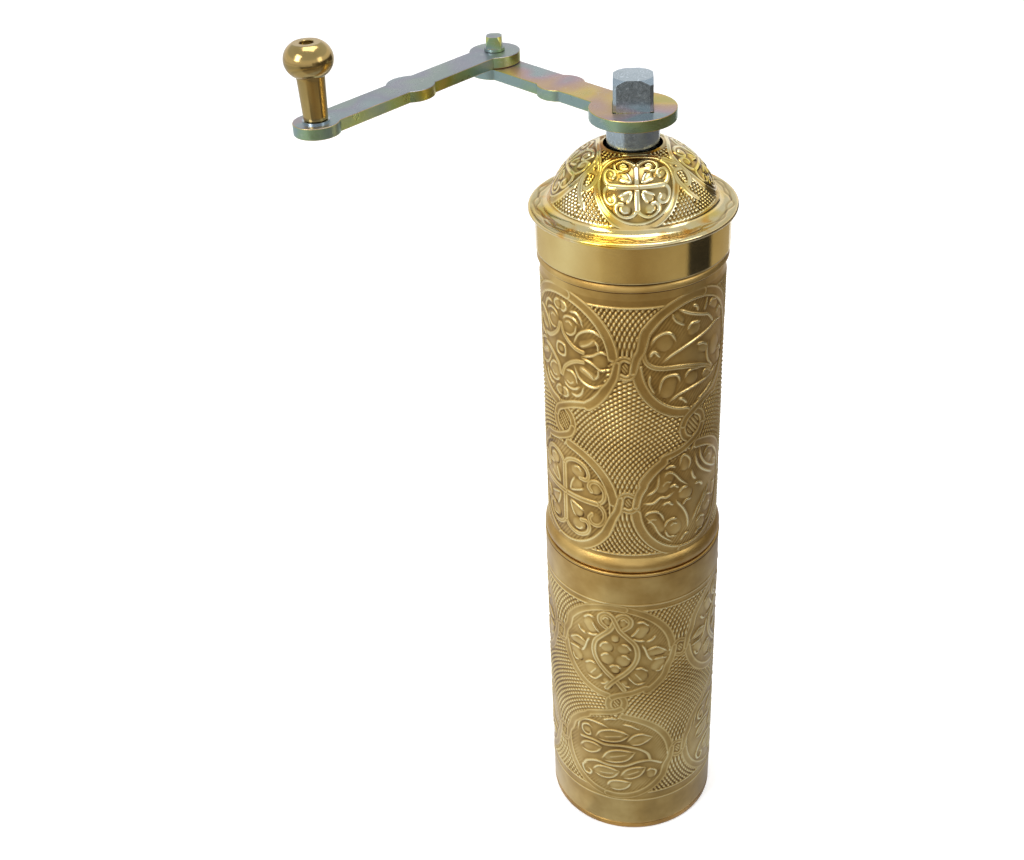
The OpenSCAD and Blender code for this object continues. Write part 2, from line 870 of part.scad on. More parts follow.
module knob_pin() {
    head_z = knob_z + knob_h - recess_h + seat_gap;
    color(zinc)
        translate(knob_at) {
            translate([0, 0, outer_z - rivet_h]) cylinder(d = rivet_d, h = rivet_h);
            translate([0, 0, outer_z]) cylinder(d = knob_pin_d, h = head_z - outer_z);
            translate([0, 0, head_z]) cylinder(d = recess_d - 2 * run_gap, h = pin_head_h);
        }
}

// Half section of the knob: a tapered stem under a flattened ball
module knob_section() {
    intersection() {
        union() {
            polygon([[0, 0], [stem_foot_d / 2, 0], [stem_top_d / 2, knob_ball_z], [0, knob_ball_z]]);
            translate([0, knob_ball_z]) square([knob_ball_x, knob_curve]);
            translate([knob_ball_x, knob_ball_z]) circle(r = knob_curve);
        }
        square([knob_d, knob_h]);
    }
}

module knob() {
    color(bright_brass)
        translate(knob_at + [0, 0, knob_z])
            difference() {
                rotate_extrude() knob_section();
                translate([0, 0, -over]) cylinder(d = knob_pin_d + 2 * run_gap, h = knob_h + 2 * over);
                translate([0, 0, knob_h - recess_h]) cylinder(d = recess_d, h = recess_h + over);
            }
}

cup_tube();
cup_base();
casing_tube();
bearing_strap();
strap_bush();
outer_burr();
burr_screws();
lower_yoke();
yoke_screws();
lid_dome();
lid_skirt();
load_spring();
thrust_ball();
adjusting_screw();
adjuster_wings();
drive_spindle();
spring_washer();
cross_pin();
inner_burr();
burr_washer();
burr_nut();
crank_inner_arm();
pivot_pin();
crank_outer_arm();
knob_washer();
knob_pin();
knob();
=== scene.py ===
import math

import bmesh
import bpy
import numpy as np
from mathutils import Matrix, Vector


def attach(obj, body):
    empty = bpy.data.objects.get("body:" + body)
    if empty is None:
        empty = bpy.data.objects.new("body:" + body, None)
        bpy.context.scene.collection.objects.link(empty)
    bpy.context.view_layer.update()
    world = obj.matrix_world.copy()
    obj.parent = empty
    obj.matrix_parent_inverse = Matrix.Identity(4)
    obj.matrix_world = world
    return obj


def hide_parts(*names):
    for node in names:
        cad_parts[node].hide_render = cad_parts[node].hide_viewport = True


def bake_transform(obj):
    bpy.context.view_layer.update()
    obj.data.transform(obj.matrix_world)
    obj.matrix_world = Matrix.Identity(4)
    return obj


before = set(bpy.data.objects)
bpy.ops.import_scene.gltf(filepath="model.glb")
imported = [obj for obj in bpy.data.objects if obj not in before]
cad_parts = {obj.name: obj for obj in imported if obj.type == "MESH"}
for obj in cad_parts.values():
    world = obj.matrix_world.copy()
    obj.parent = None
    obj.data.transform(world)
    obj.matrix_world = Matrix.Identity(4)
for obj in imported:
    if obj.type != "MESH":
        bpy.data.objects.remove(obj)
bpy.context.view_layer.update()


# Receiver cup: a drawn brass tube that catches the ground coffee. Its wall is embossed with
# two rows of round medallions held by interlaced straps over a beaded ground, then antiqued
# and wiped, so the hollows stay brown and the ridges are bright.
MM = 0.001


def smooth_line(points, steps=6):
    """A flowing line through given points."""
    p = np.array(points, float)
    p = np.vstack([2 * p[0] - p[1], p, 2 * p[-1] - p[-2]])
    t = np.linspace(0, 1, steps, endpoint=False)[:, None]
    spans = [
        0.5 * (2 * b + (c - a) * t + (2 * a - 5 * b + 4 * c - d) * t**2 + (3 * b - a - 3 * c + d) * t**3)
        for a, b, c, d in zip(p, p[1:], p[2:], p[3:])
    ]
    return np.vstack(spans + [p[-2][None]])


def relief_sheet(repeat, low, high, cell=0.14):
    """An unrolled strip of wall, in millimetres, that repeats round the body."""
    n = round(repeat / cell)
    xs = np.arange(n) * repeat / n
    ys = np.arange(low, high + cell, cell)
    return {"xs": xs, "ys": ys, "h": np.zeros((len(ys), n)), "repeat": repeat}


def along(sheet, line, reach, widths=None, flat=False):
    """Windows of the sheet near a line, with each spot's distance from the line or from its edges.
    A flat line stops square at its ends, so that lines laid end to end join without a mark."""
    far_off = 1e6
    if widths is None:
        widths = np.zeros(len(line))
    for shift in (-sheet["repeat"], 0, sheet["repeat"]):
        run = line + (shift, 0)
        low, high = run.min(0) - reach, run.max(0) + reach
        cols = slice(*np.searchsorted(sheet["xs"], (low[0], high[0])))
        rows = slice(*np.searchsorted(sheet["ys"], (low[1], high[1])))
        if cols.start == cols.stop or rows.start == rows.stop:
            continue
        x, y = sheet["xs"][cols][None, :], sheet["ys"][rows][:, None]
        best = np.full((y.size, x.size), far_off)
        for i, ((ax, ay), (bx, by)) in enumerate(zip(run, run[1:])):
            dx, dy = bx - ax, by - ay
            share = ((x - ax) * dx + (y - ay) * dy) / (dx * dx + dy * dy + 1e-9)
            t = np.clip(share, 0, 1)
            d = np.hypot(x - ax - t * dx, y - ay - t * dy)
            d = d - widths[i] - t * (widths[i + 1] - widths[i])
            if flat and i == 0:
                d[share < 0] = far_off
            if flat and i == len(run) - 2:
                d[share > 1] = far_off
            best = np.minimum(best, d)
        yield (rows, cols), best


def ridge(sheet, points, height=0.36, half=0.46, foot=-0.16, taper=0.3):
    """A raised bright line, which fades towards its ends to the given share of its width."""
    line = smooth_line(points)
    t = np.linspace(0, 1, len(line))
    widths = half * np.minimum(1, taper + 5 * t * (1 - t))
    for window, d in along(sheet, line, half + 0.2, widths):
        raised = foot + height * np.clip(-d / half, 0, 1) ** 0.8
        sheet["h"][window] = np.maximum(sheet["h"][window], raised)


def strap(sheet, points, half, level=-0.03, edge=0.2, flat=False):
    """A flat strap with a ridge on both edges, laid over what was drawn before it.
    Its half width may change from point to point."""
    line = smooth_line(points)
    widths = smooth_line(np.stack([np.broadcast_to(half, len(points))] * 2, 1))[:, 0]
    for window, d in along(sheet, line, widths.max() + 0.6, widths, flat):
        cover = np.clip((0.22 - d) / 0.3, 0, 1)
        band = level + edge * np.exp(-(((d + 0.26) / 0.24) ** 2)) - 0.16 * np.clip(d / 0.2, 0, 1)
        sheet["h"][window] += (band - sheet["h"][window]) * cover


def levelled(sheet, points, half, level=-0.17):
    """A smooth patch of ground, cleared for an eye between the straps."""
    for window, d in along(sheet, smooth_line(points), half + 0.4):
        cover = np.clip((half + 0.2 - d) / 0.4, 0, 1)
        sheet["h"][window] += (level - sheet["h"][window]) * cover


def mound(sheet, points, half, foot=-0.15, rise=0.15, cut=0.16):
    """A leaf's swelling, soft towards its edges, with a cut along its lower right side only, where shade falls
    under light from the upper left; the cut's hollow darkens the patina there, painted shade as well as relief.
    """
    for window, d in along(sheet, smooth_line(points), half + 0.8):
        swelling = foot + rise * np.clip(1 - (d / half) ** 2, 0, 1) ** 0.7
        sheet["h"][window] = np.maximum(sheet["h"][window], swelling)
        if min(d.shape) > 1:
            up, over = np.gradient(d, sheet["ys"][1] - sheet["ys"][0])
            # painted shade: only the lower right side is cut, so the hollow and its darker patina lie where
            # shade falls
            lower_right = np.clip(0.6 * over - 0.8 * up, 0, 1)
            sheet["h"][window] -= cut * lower_right * np.exp(-(((d - half - 0.1) / 0.22) ** 2))


def turned(points, x, y, sx, sy):
    """A motif's line moved to its medallion and mirrored."""
    return [(x + sx * px, y + sy * py) for px, py in points]


def medallion(sheet, x, y, motif, flips, size=1.0):
    """Draws a motif once for each way that it is flipped about its centre. A line's width tells
    its tool: above nought a swelling, nought a ridge, below nought a strap."""
    for half, points in motif:
        for sx, sy in flips:
            line = turned(size * np.array(points), x, y, sx, sy)
            if half > 0:
                mound(sheet, line, size * half)
            elif half < 0:
                strap(sheet, line, -size * half, level=-0.05, edge=0.14)
            else:
                ridge(sheet, line)


def beaded_ground(sheet, first, pitch, rows, bead, low=-0.17, rise=0.4):
    """Arcs round the neighbouring medallions: those of the right one run on, cut by the left one's."""
    x, y = np.meshgrid(sheet["xs"], sheet["ys"])
    share = ((x - first) / pitch) % 1
    mid = np.where(y > rows[0], rows[0], rows[1])
    near, far = [
        0.5 + 0.5 * np.cos(2 * math.pi * np.hypot(pitch * side, y - mid) / bead)
        for side in (share, 1 - share)
    ]
    uncut = 0.55 - 0.45 * share
    sheet["h"] = low + rise * far * (uncut + (1 - uncut) * near)


def plain_bands(sheet, low, high, beads, half, level=-0.04, height=0.36):
    """Smooth bands below and above the ornament, with beads along them right round the body."""
    sheet["h"][(sheet["ys"] < low) | (sheet["ys"] > high)] = level
    overhang = 5
    for y in beads:
        ridge(sheet, [(-overhang, y), (sheet["repeat"] + overhang, y)], height, half, taper=1)


def offsets(sheet, x, y):
    """How far every spot of the sheet lies from a point, by the short way round the body."""
    gx, gy = np.meshgrid(sheet["xs"], sheet["ys"])
    half_turn = sheet["repeat"] / 2
    return (gx - x + half_turn) % sheet["repeat"] - half_turn, gy - y


def hatched_ground(sheet, x, y, rx, ry, core, pitch=0.9, low=-0.15, rise=0.05):
    """Fine slanting lines on the ground inside a medallion, strongest near its rim."""
    dx, dy = offsets(sheet, x, y)
    out = np.sqrt((dx / rx) ** 2 + (dy / ry) ** 2)
    lines = np.cos(2 * math.pi * (0.8 * dx - 0.6 * dy) / pitch)
    rim = np.clip((out - core) / 0.25, 0, 1)
    sheet["h"][out < 1] = (low + rise * lines * rim)[out < 1]


def arc(x, y, rx, ry, start, stop):
    a = np.radians(np.linspace(start, stop, max(3, abs(round((stop - start) / 6)))))
    return np.stack([x + rx * np.cos(a), y + ry * np.sin(a)], 1)


def eyelet(sheet, x, y, rx, ry, pitch, low=-0.17, rise=0.3):
    """A small beaded eye between two hooked straps."""
    dx, dy = offsets(sheet, x, y)
    slanted = 0.5 + 0.5 * np.cos(2 * math.pi * (0.8 * dx + 0.6 * dy) / pitch)
    crossing = 0.7 + 0.3 * np.cos(2 * math.pi * (dx - dy) / pitch)
    inside = (dx / rx) ** 2 + (dy / ry) ** 2 < 1
    sheet["h"][inside] = (low + rise * (slanted * crossing))[inside]


def strapwork(sheet, columns, pitch, rows, size, knots, link, link_hook, half, edge=0.2, level=-0.03):
    """The straps that frame the medallions. Each runs a quarter round its medallion. Two of the
    four hook round the eyes beside it and between the rows; their ends lie under the other strap."""
    side_hook = [(-4.0, -5.2), (-2.9, -3.0), (-2.3, -0.4), (-2.0, 1.3), (-1.2, 2.5), (0, 2.8), (1.3, 2.2)]
    side_hook, link_hook = np.array(side_hook), np.array(link_hook)
    side_half, link_half = np.array((1.25, 1.15, 1.05, 0.95, 0.85, 0.8, 0.8)), 1.1
    plain_from, short_to, long_to = 6, 82, 100
    linked_from, hooked_from, hooked_to = -57, -100, -30
    whole, bodies = [], []
    for x in columns:
        for row, y in enumerate(rows):
            quarters = (short_to, long_to) if row else (long_to, short_to)
            for turn, reach in zip((0, 180), quarters):
                strap(sheet, arc(x, y, *size, turn + plain_from, turn + reach), half, level, edge)
            for sign, turn in ((1, 0), (-1, 180)):
                linked = (row == 0) == (sign == 1)
                eye = np.array((x + knots[row][0] + sign * pitch / 2, knots[row][1]))
                ring_from = linked_from if linked else hooked_from
                ring = arc(x, y, *size, turn + ring_from, turn + hooked_to)
                side = eye + sign * side_hook
                lead = np.array((x + link[0], link[1])) + sign * link_hook[::-1] if linked else ring[:0]
                for lines, cut, stop in ((whole, 0, None), (bodies, 3, 4)):
                    parts = (lead[cut:], ring, side[:stop])
                    wide = (np.full(len(parts[0]), link_half), np.full(len(ring), half), side_half[:stop])
                    lines.append((np.vstack(parts), np.concatenate(wide)))
    eyes = []
    for x in columns:
        eyes += [(x + shift + pitch / 2, y, 1.6, 1.7, (0.85, 1.35, 0.75)) for shift, y in knots]
        eyes.append((x + link[0], link[1], 0.4, link[2], (link[2] - 1.5, link[2] - 0.9, 1.0)))
    for x, y, tall, wide, _ in eyes:
        levelled(sheet, [(x, y - tall), (x, y + tall)], wide)
    for line, wide in whole + bodies:
        strap(sheet, line, wide, level, edge, flat=True)
    for x, y, _, _, beading in eyes:
        eyelet(sheet, x, y, *beading)


def finish_sheet(sheet, low, high, fade=0.3, blur=0.9):
    """Fades the relief out into the plain bands, and finds the hollows that keep the patina."""
    y = sheet["ys"][:, None]
    sheet["h"] *= np.clip((y - low) / fade, 0, 1) * np.clip((high - y) / fade, 0, 1)
    cell = sheet["ys"][1] - sheet["ys"][0]
    up, over = [np.fft.fftfreq(n) for n in sheet["h"].shape]
    soften = np.exp(-2 * (math.pi * blur / cell) ** 2 * (up[:, None] ** 2 + over[None, :] ** 2))
    around = np.fft.ifft2(np.fft.fft2(sheet["h"]) * soften).real
    sheet["hollow"] = around - sheet["h"]


def lookup(sheet, what, x, y):
    """Reads the sheet between its cells."""
    xs, ys = sheet["xs"], sheet["ys"]
    n, last = xs.size, ys.size - 1.001
    c = (x % sheet["repeat"]) / (xs[1] - xs[0])
    r = np.clip((y - ys[0]) / (ys[1] - ys[0]), 0, last)
    c0, r0 = np.floor(c).astype(int), np.floor(r).astype(int)
    fc, fr = c - c0, r - r0
    c0, c1 = c0 % n, (c0 + 1) % n
    grid = sheet[what]
    top = grid[r0 + 1, c0] * (1 - fc) + grid[r0 + 1, c1] * fc
    return (grid[r0, c0] * (1 - fc) + grid[r0, c1] * fc) * (1 - fr) + top * fr


def spun(name, section, steps, at=(0, 0)):
    """A closed form turned from a half section of (radius, height) in millimetres."""
    bm = bmesh.new()
    verts = [bm.verts.new((0, -r * MM, z * MM)) for r, z in section]
    edges = [bm.edges.new(pair) for pair in zip(verts, verts[1:] + verts[:1])]
    whole_turn = {"cent": (0, 0, 0), "axis": (0, 0, 1), "angle": 2 * math.pi}
    bmesh.ops.spin(bm, geom=verts + edges, steps=steps, use_merge=True, **whole_turn)
    bmesh.ops.remove_doubles(bm, verts=bm.verts, dist=1e-7)
    bmesh.ops.dissolve_degenerate(bm, edges=bm.edges, dist=1e-8)
    bmesh.ops.recalc_face_normals(bm, faces=bm.faces)
    bmesh.ops.translate(bm, verts=bm.verts, vec=(at[0] * MM, at[1] * MM, 0))
    return piece(name, bm)


def piece(name, bm, sharp=35):
    """A finished object, smooth but for edges that are sharper than the given degrees."""
    mesh = bpy.data.meshes.new(name)
    bm.to_mesh(mesh)
    bm.free()
    mesh.shade_smooth()
    mesh.set_sharp_from_angle(angle=math.radians(sharp))
    made = bpy.data.objects.new(name, mesh)
    bpy.context.scene.collection.objects.link(made)
    return made


def read(items, what):
    """One vector from each of a mesh's points or faces."""
    values = np.zeros(3 * len(items))
    items.foreach_get(what, values)
    return values.reshape(-1, 3)


def mark(mesh, name, values):
    """Keeps a value at every point of a mesh for its material to read."""
    kept = mesh.attributes.new(name, "FLOAT", "POINT").data
    kept.foreach_set("value", np.broadcast_to(values, len(kept)).astype(np.float32))


def rolled(name, section, steps):
    """A thin sheet laid out as a fine grid, rolled into a tube with the given closed section."""
    bm = bmesh.new()
    bmesh.ops.create_grid(bm, x_segments=steps, y_segments=len(section), size=1)
    flat = bpy.data.meshes.new(name)
    bm.to_mesh(flat)
    co = read(flat.vertices, "co")
    turn = (co[:, 0] + 1) * math.pi
    stop = np.rint((co[:, 1] + 1) / 2 * len(section)).astype(int) % len(section)
    r, z = (np.array(section)[stop] * MM).T
    co = np.stack([r * np.sin(turn), -r * np.cos(turn), z], 1)
    flat.vertices.foreach_set("co", co.ravel())
    bm.clear()
    bm.from_mesh(flat)
    bpy.data.meshes.remove(flat)
    bmesh.ops.remove_doubles(bm, verts=bm.verts, dist=1e-7)
    bmesh.ops.recalc_face_normals(bm, faces=bm.faces)
    return piece(name, bm, sharp=65)


def rows(start, stop, spacing):
    return np.linspace(start, stop, max(2, round(abs(stop - start) / spacing) + 1))


def emboss(shell, sheet, first, radius, stain, depth, painted_shade_bands):
    """Presses the sheet's relief into the outside of a rolled wall and keeps it for the patina. In each painted
    shade band it sets a fixed dark share instead: painted shade in a groove or gap.
    """
    mesh = shell.data
    co = read(mesh.vertices, "co")
    r = np.hypot(co[:, 0], co[:, 1]) / MM
    outside = r > radius - 0.05
    u = np.arctan2(co[:, 0], -co[:, 1]) * radius - first
    h = np.where(outside, depth * lookup(sheet, "h", u, co[:, 2] / MM), 0)
    hollow = np.where(outside, stain * lookup(sheet, "hollow", u, co[:, 2] / MM), 0)
    # painted shade: a fixed dark share in the grooves and gaps, in place of the patina
    for low, high, painted_shade in painted_shade_bands:
        hollow[(co[:, 2] > low * MM) & (co[:, 2] < high * MM)] = painted_shade
    co[:, :2] *= ((r + h) / r)[:, None]
    mesh.vertices.foreach_set("co", co.ravel())
    mark(mesh, "hollow", hollow)
    mesh.update()


def node(tree, kind, links=None, **settings):
    """Adds a shader node; links give its inputs a value or another node's output."""
    made = tree.nodes.new(kind)
    for key, value in settings.items():
        setattr(made, key, value)
    for key, value in (links or {}).items():
        if isinstance(value, bpy.types.NodeSocket):
            tree.links.new(value, made.inputs[key])
        else:
            made.inputs[key].default_value = value
    return made


def noise(tree, place, scale, detail, **more):
    return node(tree, "ShaderNodeTexNoise", {"Vector": place, "Scale": scale, "Detail": detail, **more}).outputs


def reckoned(tree, operation, *terms):
    return node(tree, "ShaderNodeMath", dict(enumerate(terms)), operation=operation).outputs[0]


def blended(tree, share, low, high, how="MIX"):
    """A share between two colours."""
    mix = node(tree, "ShaderNodeMix", {0: share}, data_type="RGBA", blend_type=how)
    for socket, value in ((6, low), (7, high)):
        if isinstance(value, bpy.types.NodeSocket):
            tree.links.new(value, mix.inputs[socket])
        else:
            mix.inputs[socket].default_value = (*value, 1)
    return mix.outputs[2]


def graded(tree, value, stops):
    """Colours along a value."""
    ramp = node(tree, "ShaderNodeValToRGB", {0: value}).color_ramp
    while len(ramp.elements) < len(stops):
        ramp.elements.new(0.5)
    for element, (place, colour) in zip(ramp.elements, stops):
        element.position, element.color = place, (*colour, 1)
    return tree.nodes[-1].outputs[0]


def rescaled(tree, value, low, high, to_low=0.0, to_high=1.0):
    links = {0: value, 1: low, 2: high, 3: to_low, 4: to_high}
    return node(tree, "ShaderNodeMapRange", links).outputs[0]


def handling_group():
    """Marks that use leaves on metal: cloudy stains, fine scratches and a faint grain."""
    group = bpy.data.node_groups.new("handling_marks", "ShaderNodeTree")
    group.interface.new_socket("Place", in_out="INPUT", socket_type="NodeSocketVector")
    for name in ("Cloud Size", "Scratch Size", "Grain Size"):
        group.interface.new_socket(name, in_out="INPUT", socket_type="NodeSocketFloat")
    for name in ("Clouds", "Scratches", "Grain"):
        group.interface.new_socket(name, in_out="OUTPUT", socket_type="NodeSocketFloat")
    given = node(group, "NodeGroupInput").outputs
    result = node(group, "NodeGroupOutput").inputs
    clouds = noise(group, given[0], given[1], 4.0, Roughness=0.6)[0]
    group.links.new(rescaled(group, clouds, 0.32, 0.68), result[0])
    bent = noise(group, given[0], given[2], 2.0)["Color"]
    waves = {"Vector": bent, "Scale": 9.0, "Distortion": 5.0, "Detail": 1.0}
    lines = node(group, "ShaderNodeTexWave", waves).outputs[1]
    group.links.new(rescaled(group, lines, 0.93, 1.0), result[1])
    grain = noise(group, given[0], given[3], 3.0, Roughness=0.7)[0]
    group.links.new(grain, result[2])
    return group


handling_marks = handling_group()


def metal(name, cloud, scratch, grain):
    """A metal material with its marks of use, ready for its own colours."""
    made = bpy.data.materials.new(name)
    made.use_nodes = True
    tree = made.node_tree
    shader = tree.nodes["Principled BSDF"]
    shader.inputs["Metallic"].default_value = 1
    place = node(tree, "ShaderNodeTexCoord").outputs["Object"]
    sizes = {"Place": place, "Cloud Size": cloud, "Scratch Size": scratch, "Grain Size": grain}
    marks = node(tree, "ShaderNodeGroup", sizes, node_tree=handling_marks)
    return made, tree, shader, place, marks.outputs


def roughened(tree, shader, height, strength, distance=0.0001):
    bump = node(tree, "ShaderNodeBump", {"Height": height, "Strength": strength, "Distance": distance})
    tree.links.new(bump.outputs[0], shader.inputs["Normal"])


def antiqued(name, stops, gloss, contrast, stains=0.3, films=()):
    """Brass whose hollows keep their patina: the piece's own hollow attribute leads the colour.
    films are patches of tarnish: a tint, how many to the metre, and where they start and end."""
    made, tree, shader, place, marks = metal(name, cloud=55, scratch=90, grain=1400)
    depth = node(tree, "ShaderNodeAttribute", attribute_name="hollow").outputs["Fac"]
    worn = reckoned(tree, "MULTIPLY_ADD", depth, contrast, 0.5)
    cloudy = reckoned(tree, "MULTIPLY_ADD", marks[0], stains, -stains / 2)
    share = reckoned(tree, "ADD", worn, cloudy)
    colour = graded(tree, share, stops)
    for tint, count, start, end in films:
        patch = noise(tree, place, count, 2.0)[0]
        colour = blended(tree, rescaled(tree, patch, start, end), colour, tint, "MULTIPLY")
    tree.links.new(colour, shader.inputs["Base Color"])
    tree.links.new(rescaled(tree, share, 0.1, 0.9, *gloss), shader.inputs["Roughness"])
    roughened(tree, shader, marks[2], 0.12)
    return made


satin_brass = antiqued(
    "satin_brass",
    [
        (0.0, (0.95, 0.78, 0.40)),
        (0.32, (0.72, 0.50, 0.18)),
        (0.6, (0.46, 0.28, 0.08)),
        (1.0, (0.12, 0.06, 0.015)),
    ],
    gloss=(0.26, 0.46),
    contrast=3.0,
)


def dress(made, body, node_name, material):
    """Gives a piece its finish, puts it on its body and sets it in its node's place."""
    made.data.materials.append(material)
    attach(made, body)
    if node_name:
        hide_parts(node_name)


cup_r, cup_ri, cup_rim = 25.0, 24.0, 102.3
cup_pitch = 2 * math.pi * cup_r / 4
cup_rows = (72.9, 31.4)
cup_first = -4.76
cup_splits = (92.4, 65.6, 38.8, 12.0)
wall_spacing = 0.22
ogee_flower = [
    (1.8, [(-8, 9.4), (-7, 7.8)]),
    (1.5, [(-13.4, 0.7), (-10.4, 0.6)]),
    (1.7, [(-13, -3.6), (-12, -5)]),
    (2.6, [(-6.9, -8), (-6.7, -8.4)]),
    (1.9, [(-2.6, 2.1), (-2.5, 2)]),
    (2.1, [(-2.4, -2.4), (-2.3, -2.6)]),
    (1.3, [(0, -6), (0, -6.4)]),
    (1.1, [(0, 5.4), (0, 6)]),
    (1.1, [(-2.5, 12.1), (-2.3, 11.2)]),
    (1.2, [(-2.6, -11.2), (-2.2, -12.8)]),
    (0, [(-9.8, 10.6), (-8.2, 12.1), (-6.2, 12)]),
    (0, [(-7, 10.4), (-5.9, 8.4), (-4.6, 6.8)]),
    (0, [(-8.6, 5.2), (-6.8, 5.3), (-5, 6.1)]),
    (0, [(-15.2, 0), (-13.6, 1.6), (-11.8, 2.4), (-8.8, 1.4)]),
    (0, [(-15.2, -2.3), (-13.2, -2), (-11.2, -2.2)]),
    (0, [(-14.2, -4.6), (-13.2, -6.6), (-11.8, -6.6)]),
    (0, [(-9.6, -6.6), (-7.8, -5.2), (-5.8, -5.5)]),
    (0, [(-8.8, -10.8), (-6.5, -11.4), (-4.9, -10.1), (-3.8, -8.5)]),
    (0, [(-7.8, -10), (-6.7, -8.4), (-5.6, -6.9)]),
    (0, [(-4.7, 1.4), (-3.6, 3.3), (-1.8, 3.8)]),
    (0, [(-4.4, -2), (-3.2, -0.7), (-1.8, -0.5)]),
    (0, [(-1.6, -5.6), (-0.9, -4.8), (0, -4.6)]),
    (0, [(-3.8, 11.8), (-2.8, 13.2), (-1.6, 12.6)]),
    (0, [(-10.8, -2.6), (-9.5, -0.6), (-8.6, 2.2), (-7.8, 3.8)]),
    (0, [(-11.8, 7), (-10.6, 5.4), (-9, 4.8)]),
    (0, [(-4.4, -12.6), (-3, -12.2), (-1.8, -10.6)]),
    (
        -0.8,
        [(2.6, 9.4), (4.3, 11), (4.4, 13.2), (2.7, 14.5), (0.9, 13.7), (-0.1, 11.8)]
        + [(-1.4, 8.8), (-3.8, 6.2), (-5.8, 3.7), (-6.5, 0.8), (-6.2, -2), (-5, -4.6)]
        + [(-2.9, -7.3), (-0.6, -9.6), (1.3, -11.8), (2.6, -13.8)],
    ),
]
leafy_spray = [
    (1.3, [(-9.6, 7.8), (-9.2, 7.8)]),
    (2.1, [(-3.4, 7.7), (1.2, 8.9)]),
    (1.9, [(5.6, 6.9), (8.8, 7.7)]),
    (1.9, [(-9.2, 0.8), (-6.4, 1.5)]),
    (2.1, [(-1.8, -0.5), (3.2, 0.8)]),
    (2.1, [(-5, -7.9), (-1.4, -7.3)]),
    (1.9, [(3.4, -7.2), (6.8, -5.9)]),
    (1.8, [(-0.4, -12.6), (2.6, -12.1)]),
    (1.4, [(10.8, -6.8), (11, -7.8)]),
    (0, [(-13, 5.6), (-12.2, 9.6), (-10.3, 11.6), (-7.7, 12.4), (-4.6, 12.2), (-2.2, 11.4)]),
    (0, [(-7.4, 9.4), (-9, 10.2), (-10.8, 9.2), (-11, 7.2), (-9.7, 5.9), (-8.2, 6.4), (-8.2, 8)]),
    (0, [(-6.4, 6.4), (-4.6, 9.3), (-1.2, 10.7), (2, 10.4), (4.2, 9.2)]),
    (0, [(-5.4, 5.8), (-2.2, 5.8), (1.4, 6.8), (4.2, 9.2)]),
    (0, [(-4, 7.2), (-0.8, 8.2), (2.4, 8.9)]),
    (0, [(3.4, 6.4), (5.4, 9), (8.2, 9.7), (11.2, 8.2)]),
    (0, [(4.6, 5.4), (7.6, 5.7), (11.2, 8.2)]),
    (0, [(-12.2, -0.4), (-10.2, 2.3), (-7.2, 3.2), (-4.4, 2.4)]),
    (0, [(-11.4, -1.2), (-8.6, -1.2), (-6, 0.2), (-4.4, 2.4)]),
    (0, [(-4.4, -2.2), (-2.2, 1.3), (1.2, 2.7), (6, 2.2)]),
    (0, [(-3.4, -2.8), (0.4, -2.4), (3.6, -1), (6, 2.2)]),
    (0, [(-2.4, -1), (0.6, 0.2), (3.8, 1.2)]),
    (0, [(-7.6, -8.2), (-5.6, -5.9), (-2.2, -5.5), (1.2, -6.4)]),
    (0, [(-6.8, -9.3), (-4, -10), (-1, -9.2), (1.2, -6.4)]),
    (0, [(-5.6, -8.2), (-2.8, -7.9), (-0.2, -7.2)]),
    (0, [(1.4, -8.4), (3.2, -5.6), (6, -4.3), (9.2, -4.4)]),
    (0, [(2.2, -9.1), (5, -8.9), (7.6, -7.4), (9.2, -4.4)]),
    (0, [(3.2, -7.6), (5.4, -6.6), (7.6, -5.6)]),
    (0, [(-2.8, -13.4), (-1.5, -11.1), (1.2, -10.4), (4.8, -10.8)]),
    (0, [(-1.8, -14.1), (1, -14.2), (3.4, -13), (4.8, -10.8)]),
    (0, [(9.4, -6.2), (10.8, -5.2), (12.4, -6.4), (11.8, -8.8)]),
    (0, [(-9.4, -6.4), (-11.2, -8.2), (-10.4, -10.6), (-8.7, -10.8), (-8, -9.4), (-9.2, -8.6)]),
    (0, [(-3.8, 14.2), (-1.8, 15.3), (0.6, 15.6)]),
    (0, [(2, 13.7), (4.8, 13.1), (7.4, 11.5)]),
    (-0.42, [(10.6, -1.4), (9.6, 1.6), (6.6, 3.8), (1.8, 4.7), (-3.2, 4.1), (-7.4, 4.6), (-11.6, 4)]),
    (
        -0.42,
        [(14, -3.4), (10.6, -1.6), (6.8, -1.9), (2.6, -3.8)]
        + [(-2.2, -4.3), (-6.2, -3.9), (-9.4, -5.4), (-10.6, -7)],
    ),
]
both_sides = [(1, 1), (-1, 1)]
cup_link = [(8.6, 6.4), (4.6, 4.7), (0.6, 3.3), (-1.6, 1.9), (-2.4, 0.0), (-2.2, -1.9), (-0.9, -3.2)]
cup_field, cup_hatch_core, cup_ring = 15.9, 0.78, 17.0
cup_sheet = relief_sheet(cup_pitch, cup_splits[-1], cup_splits[0])
beaded_ground(cup_sheet, cup_pitch / 2, cup_pitch, cup_rows, bead=1.22)
plain_bands(cup_sheet, low=15.8, high=89.4, beads=(91.3, 89.3, 16.0, 12.9), half=0.46)
for height in cup_rows:
    hatched_ground(cup_sheet, cup_pitch / 2, height, cup_field, cup_field, cup_hatch_core)
medallion(cup_sheet, cup_pitch / 2, cup_rows[0], ogee_flower, both_sides)
medallion(cup_sheet, cup_pitch / 2, cup_rows[1], leafy_spray, both_sides[:1])
strapwork(
    cup_sheet,
    [cup_pitch / 2],
    cup_pitch,
    cup_rows,
    (cup_ring, cup_ring),
    knots=((0, 72.6), (0, 31.8)),
    link=(0.3, 53.3, 2.4),
    link_hook=cup_link,
    half=1.25,
    edge=0.12,
    level=-0.09,
)
finish_sheet(cup_sheet, cup_splits[-1] + 0.4, cup_splits[0] - 0.4)


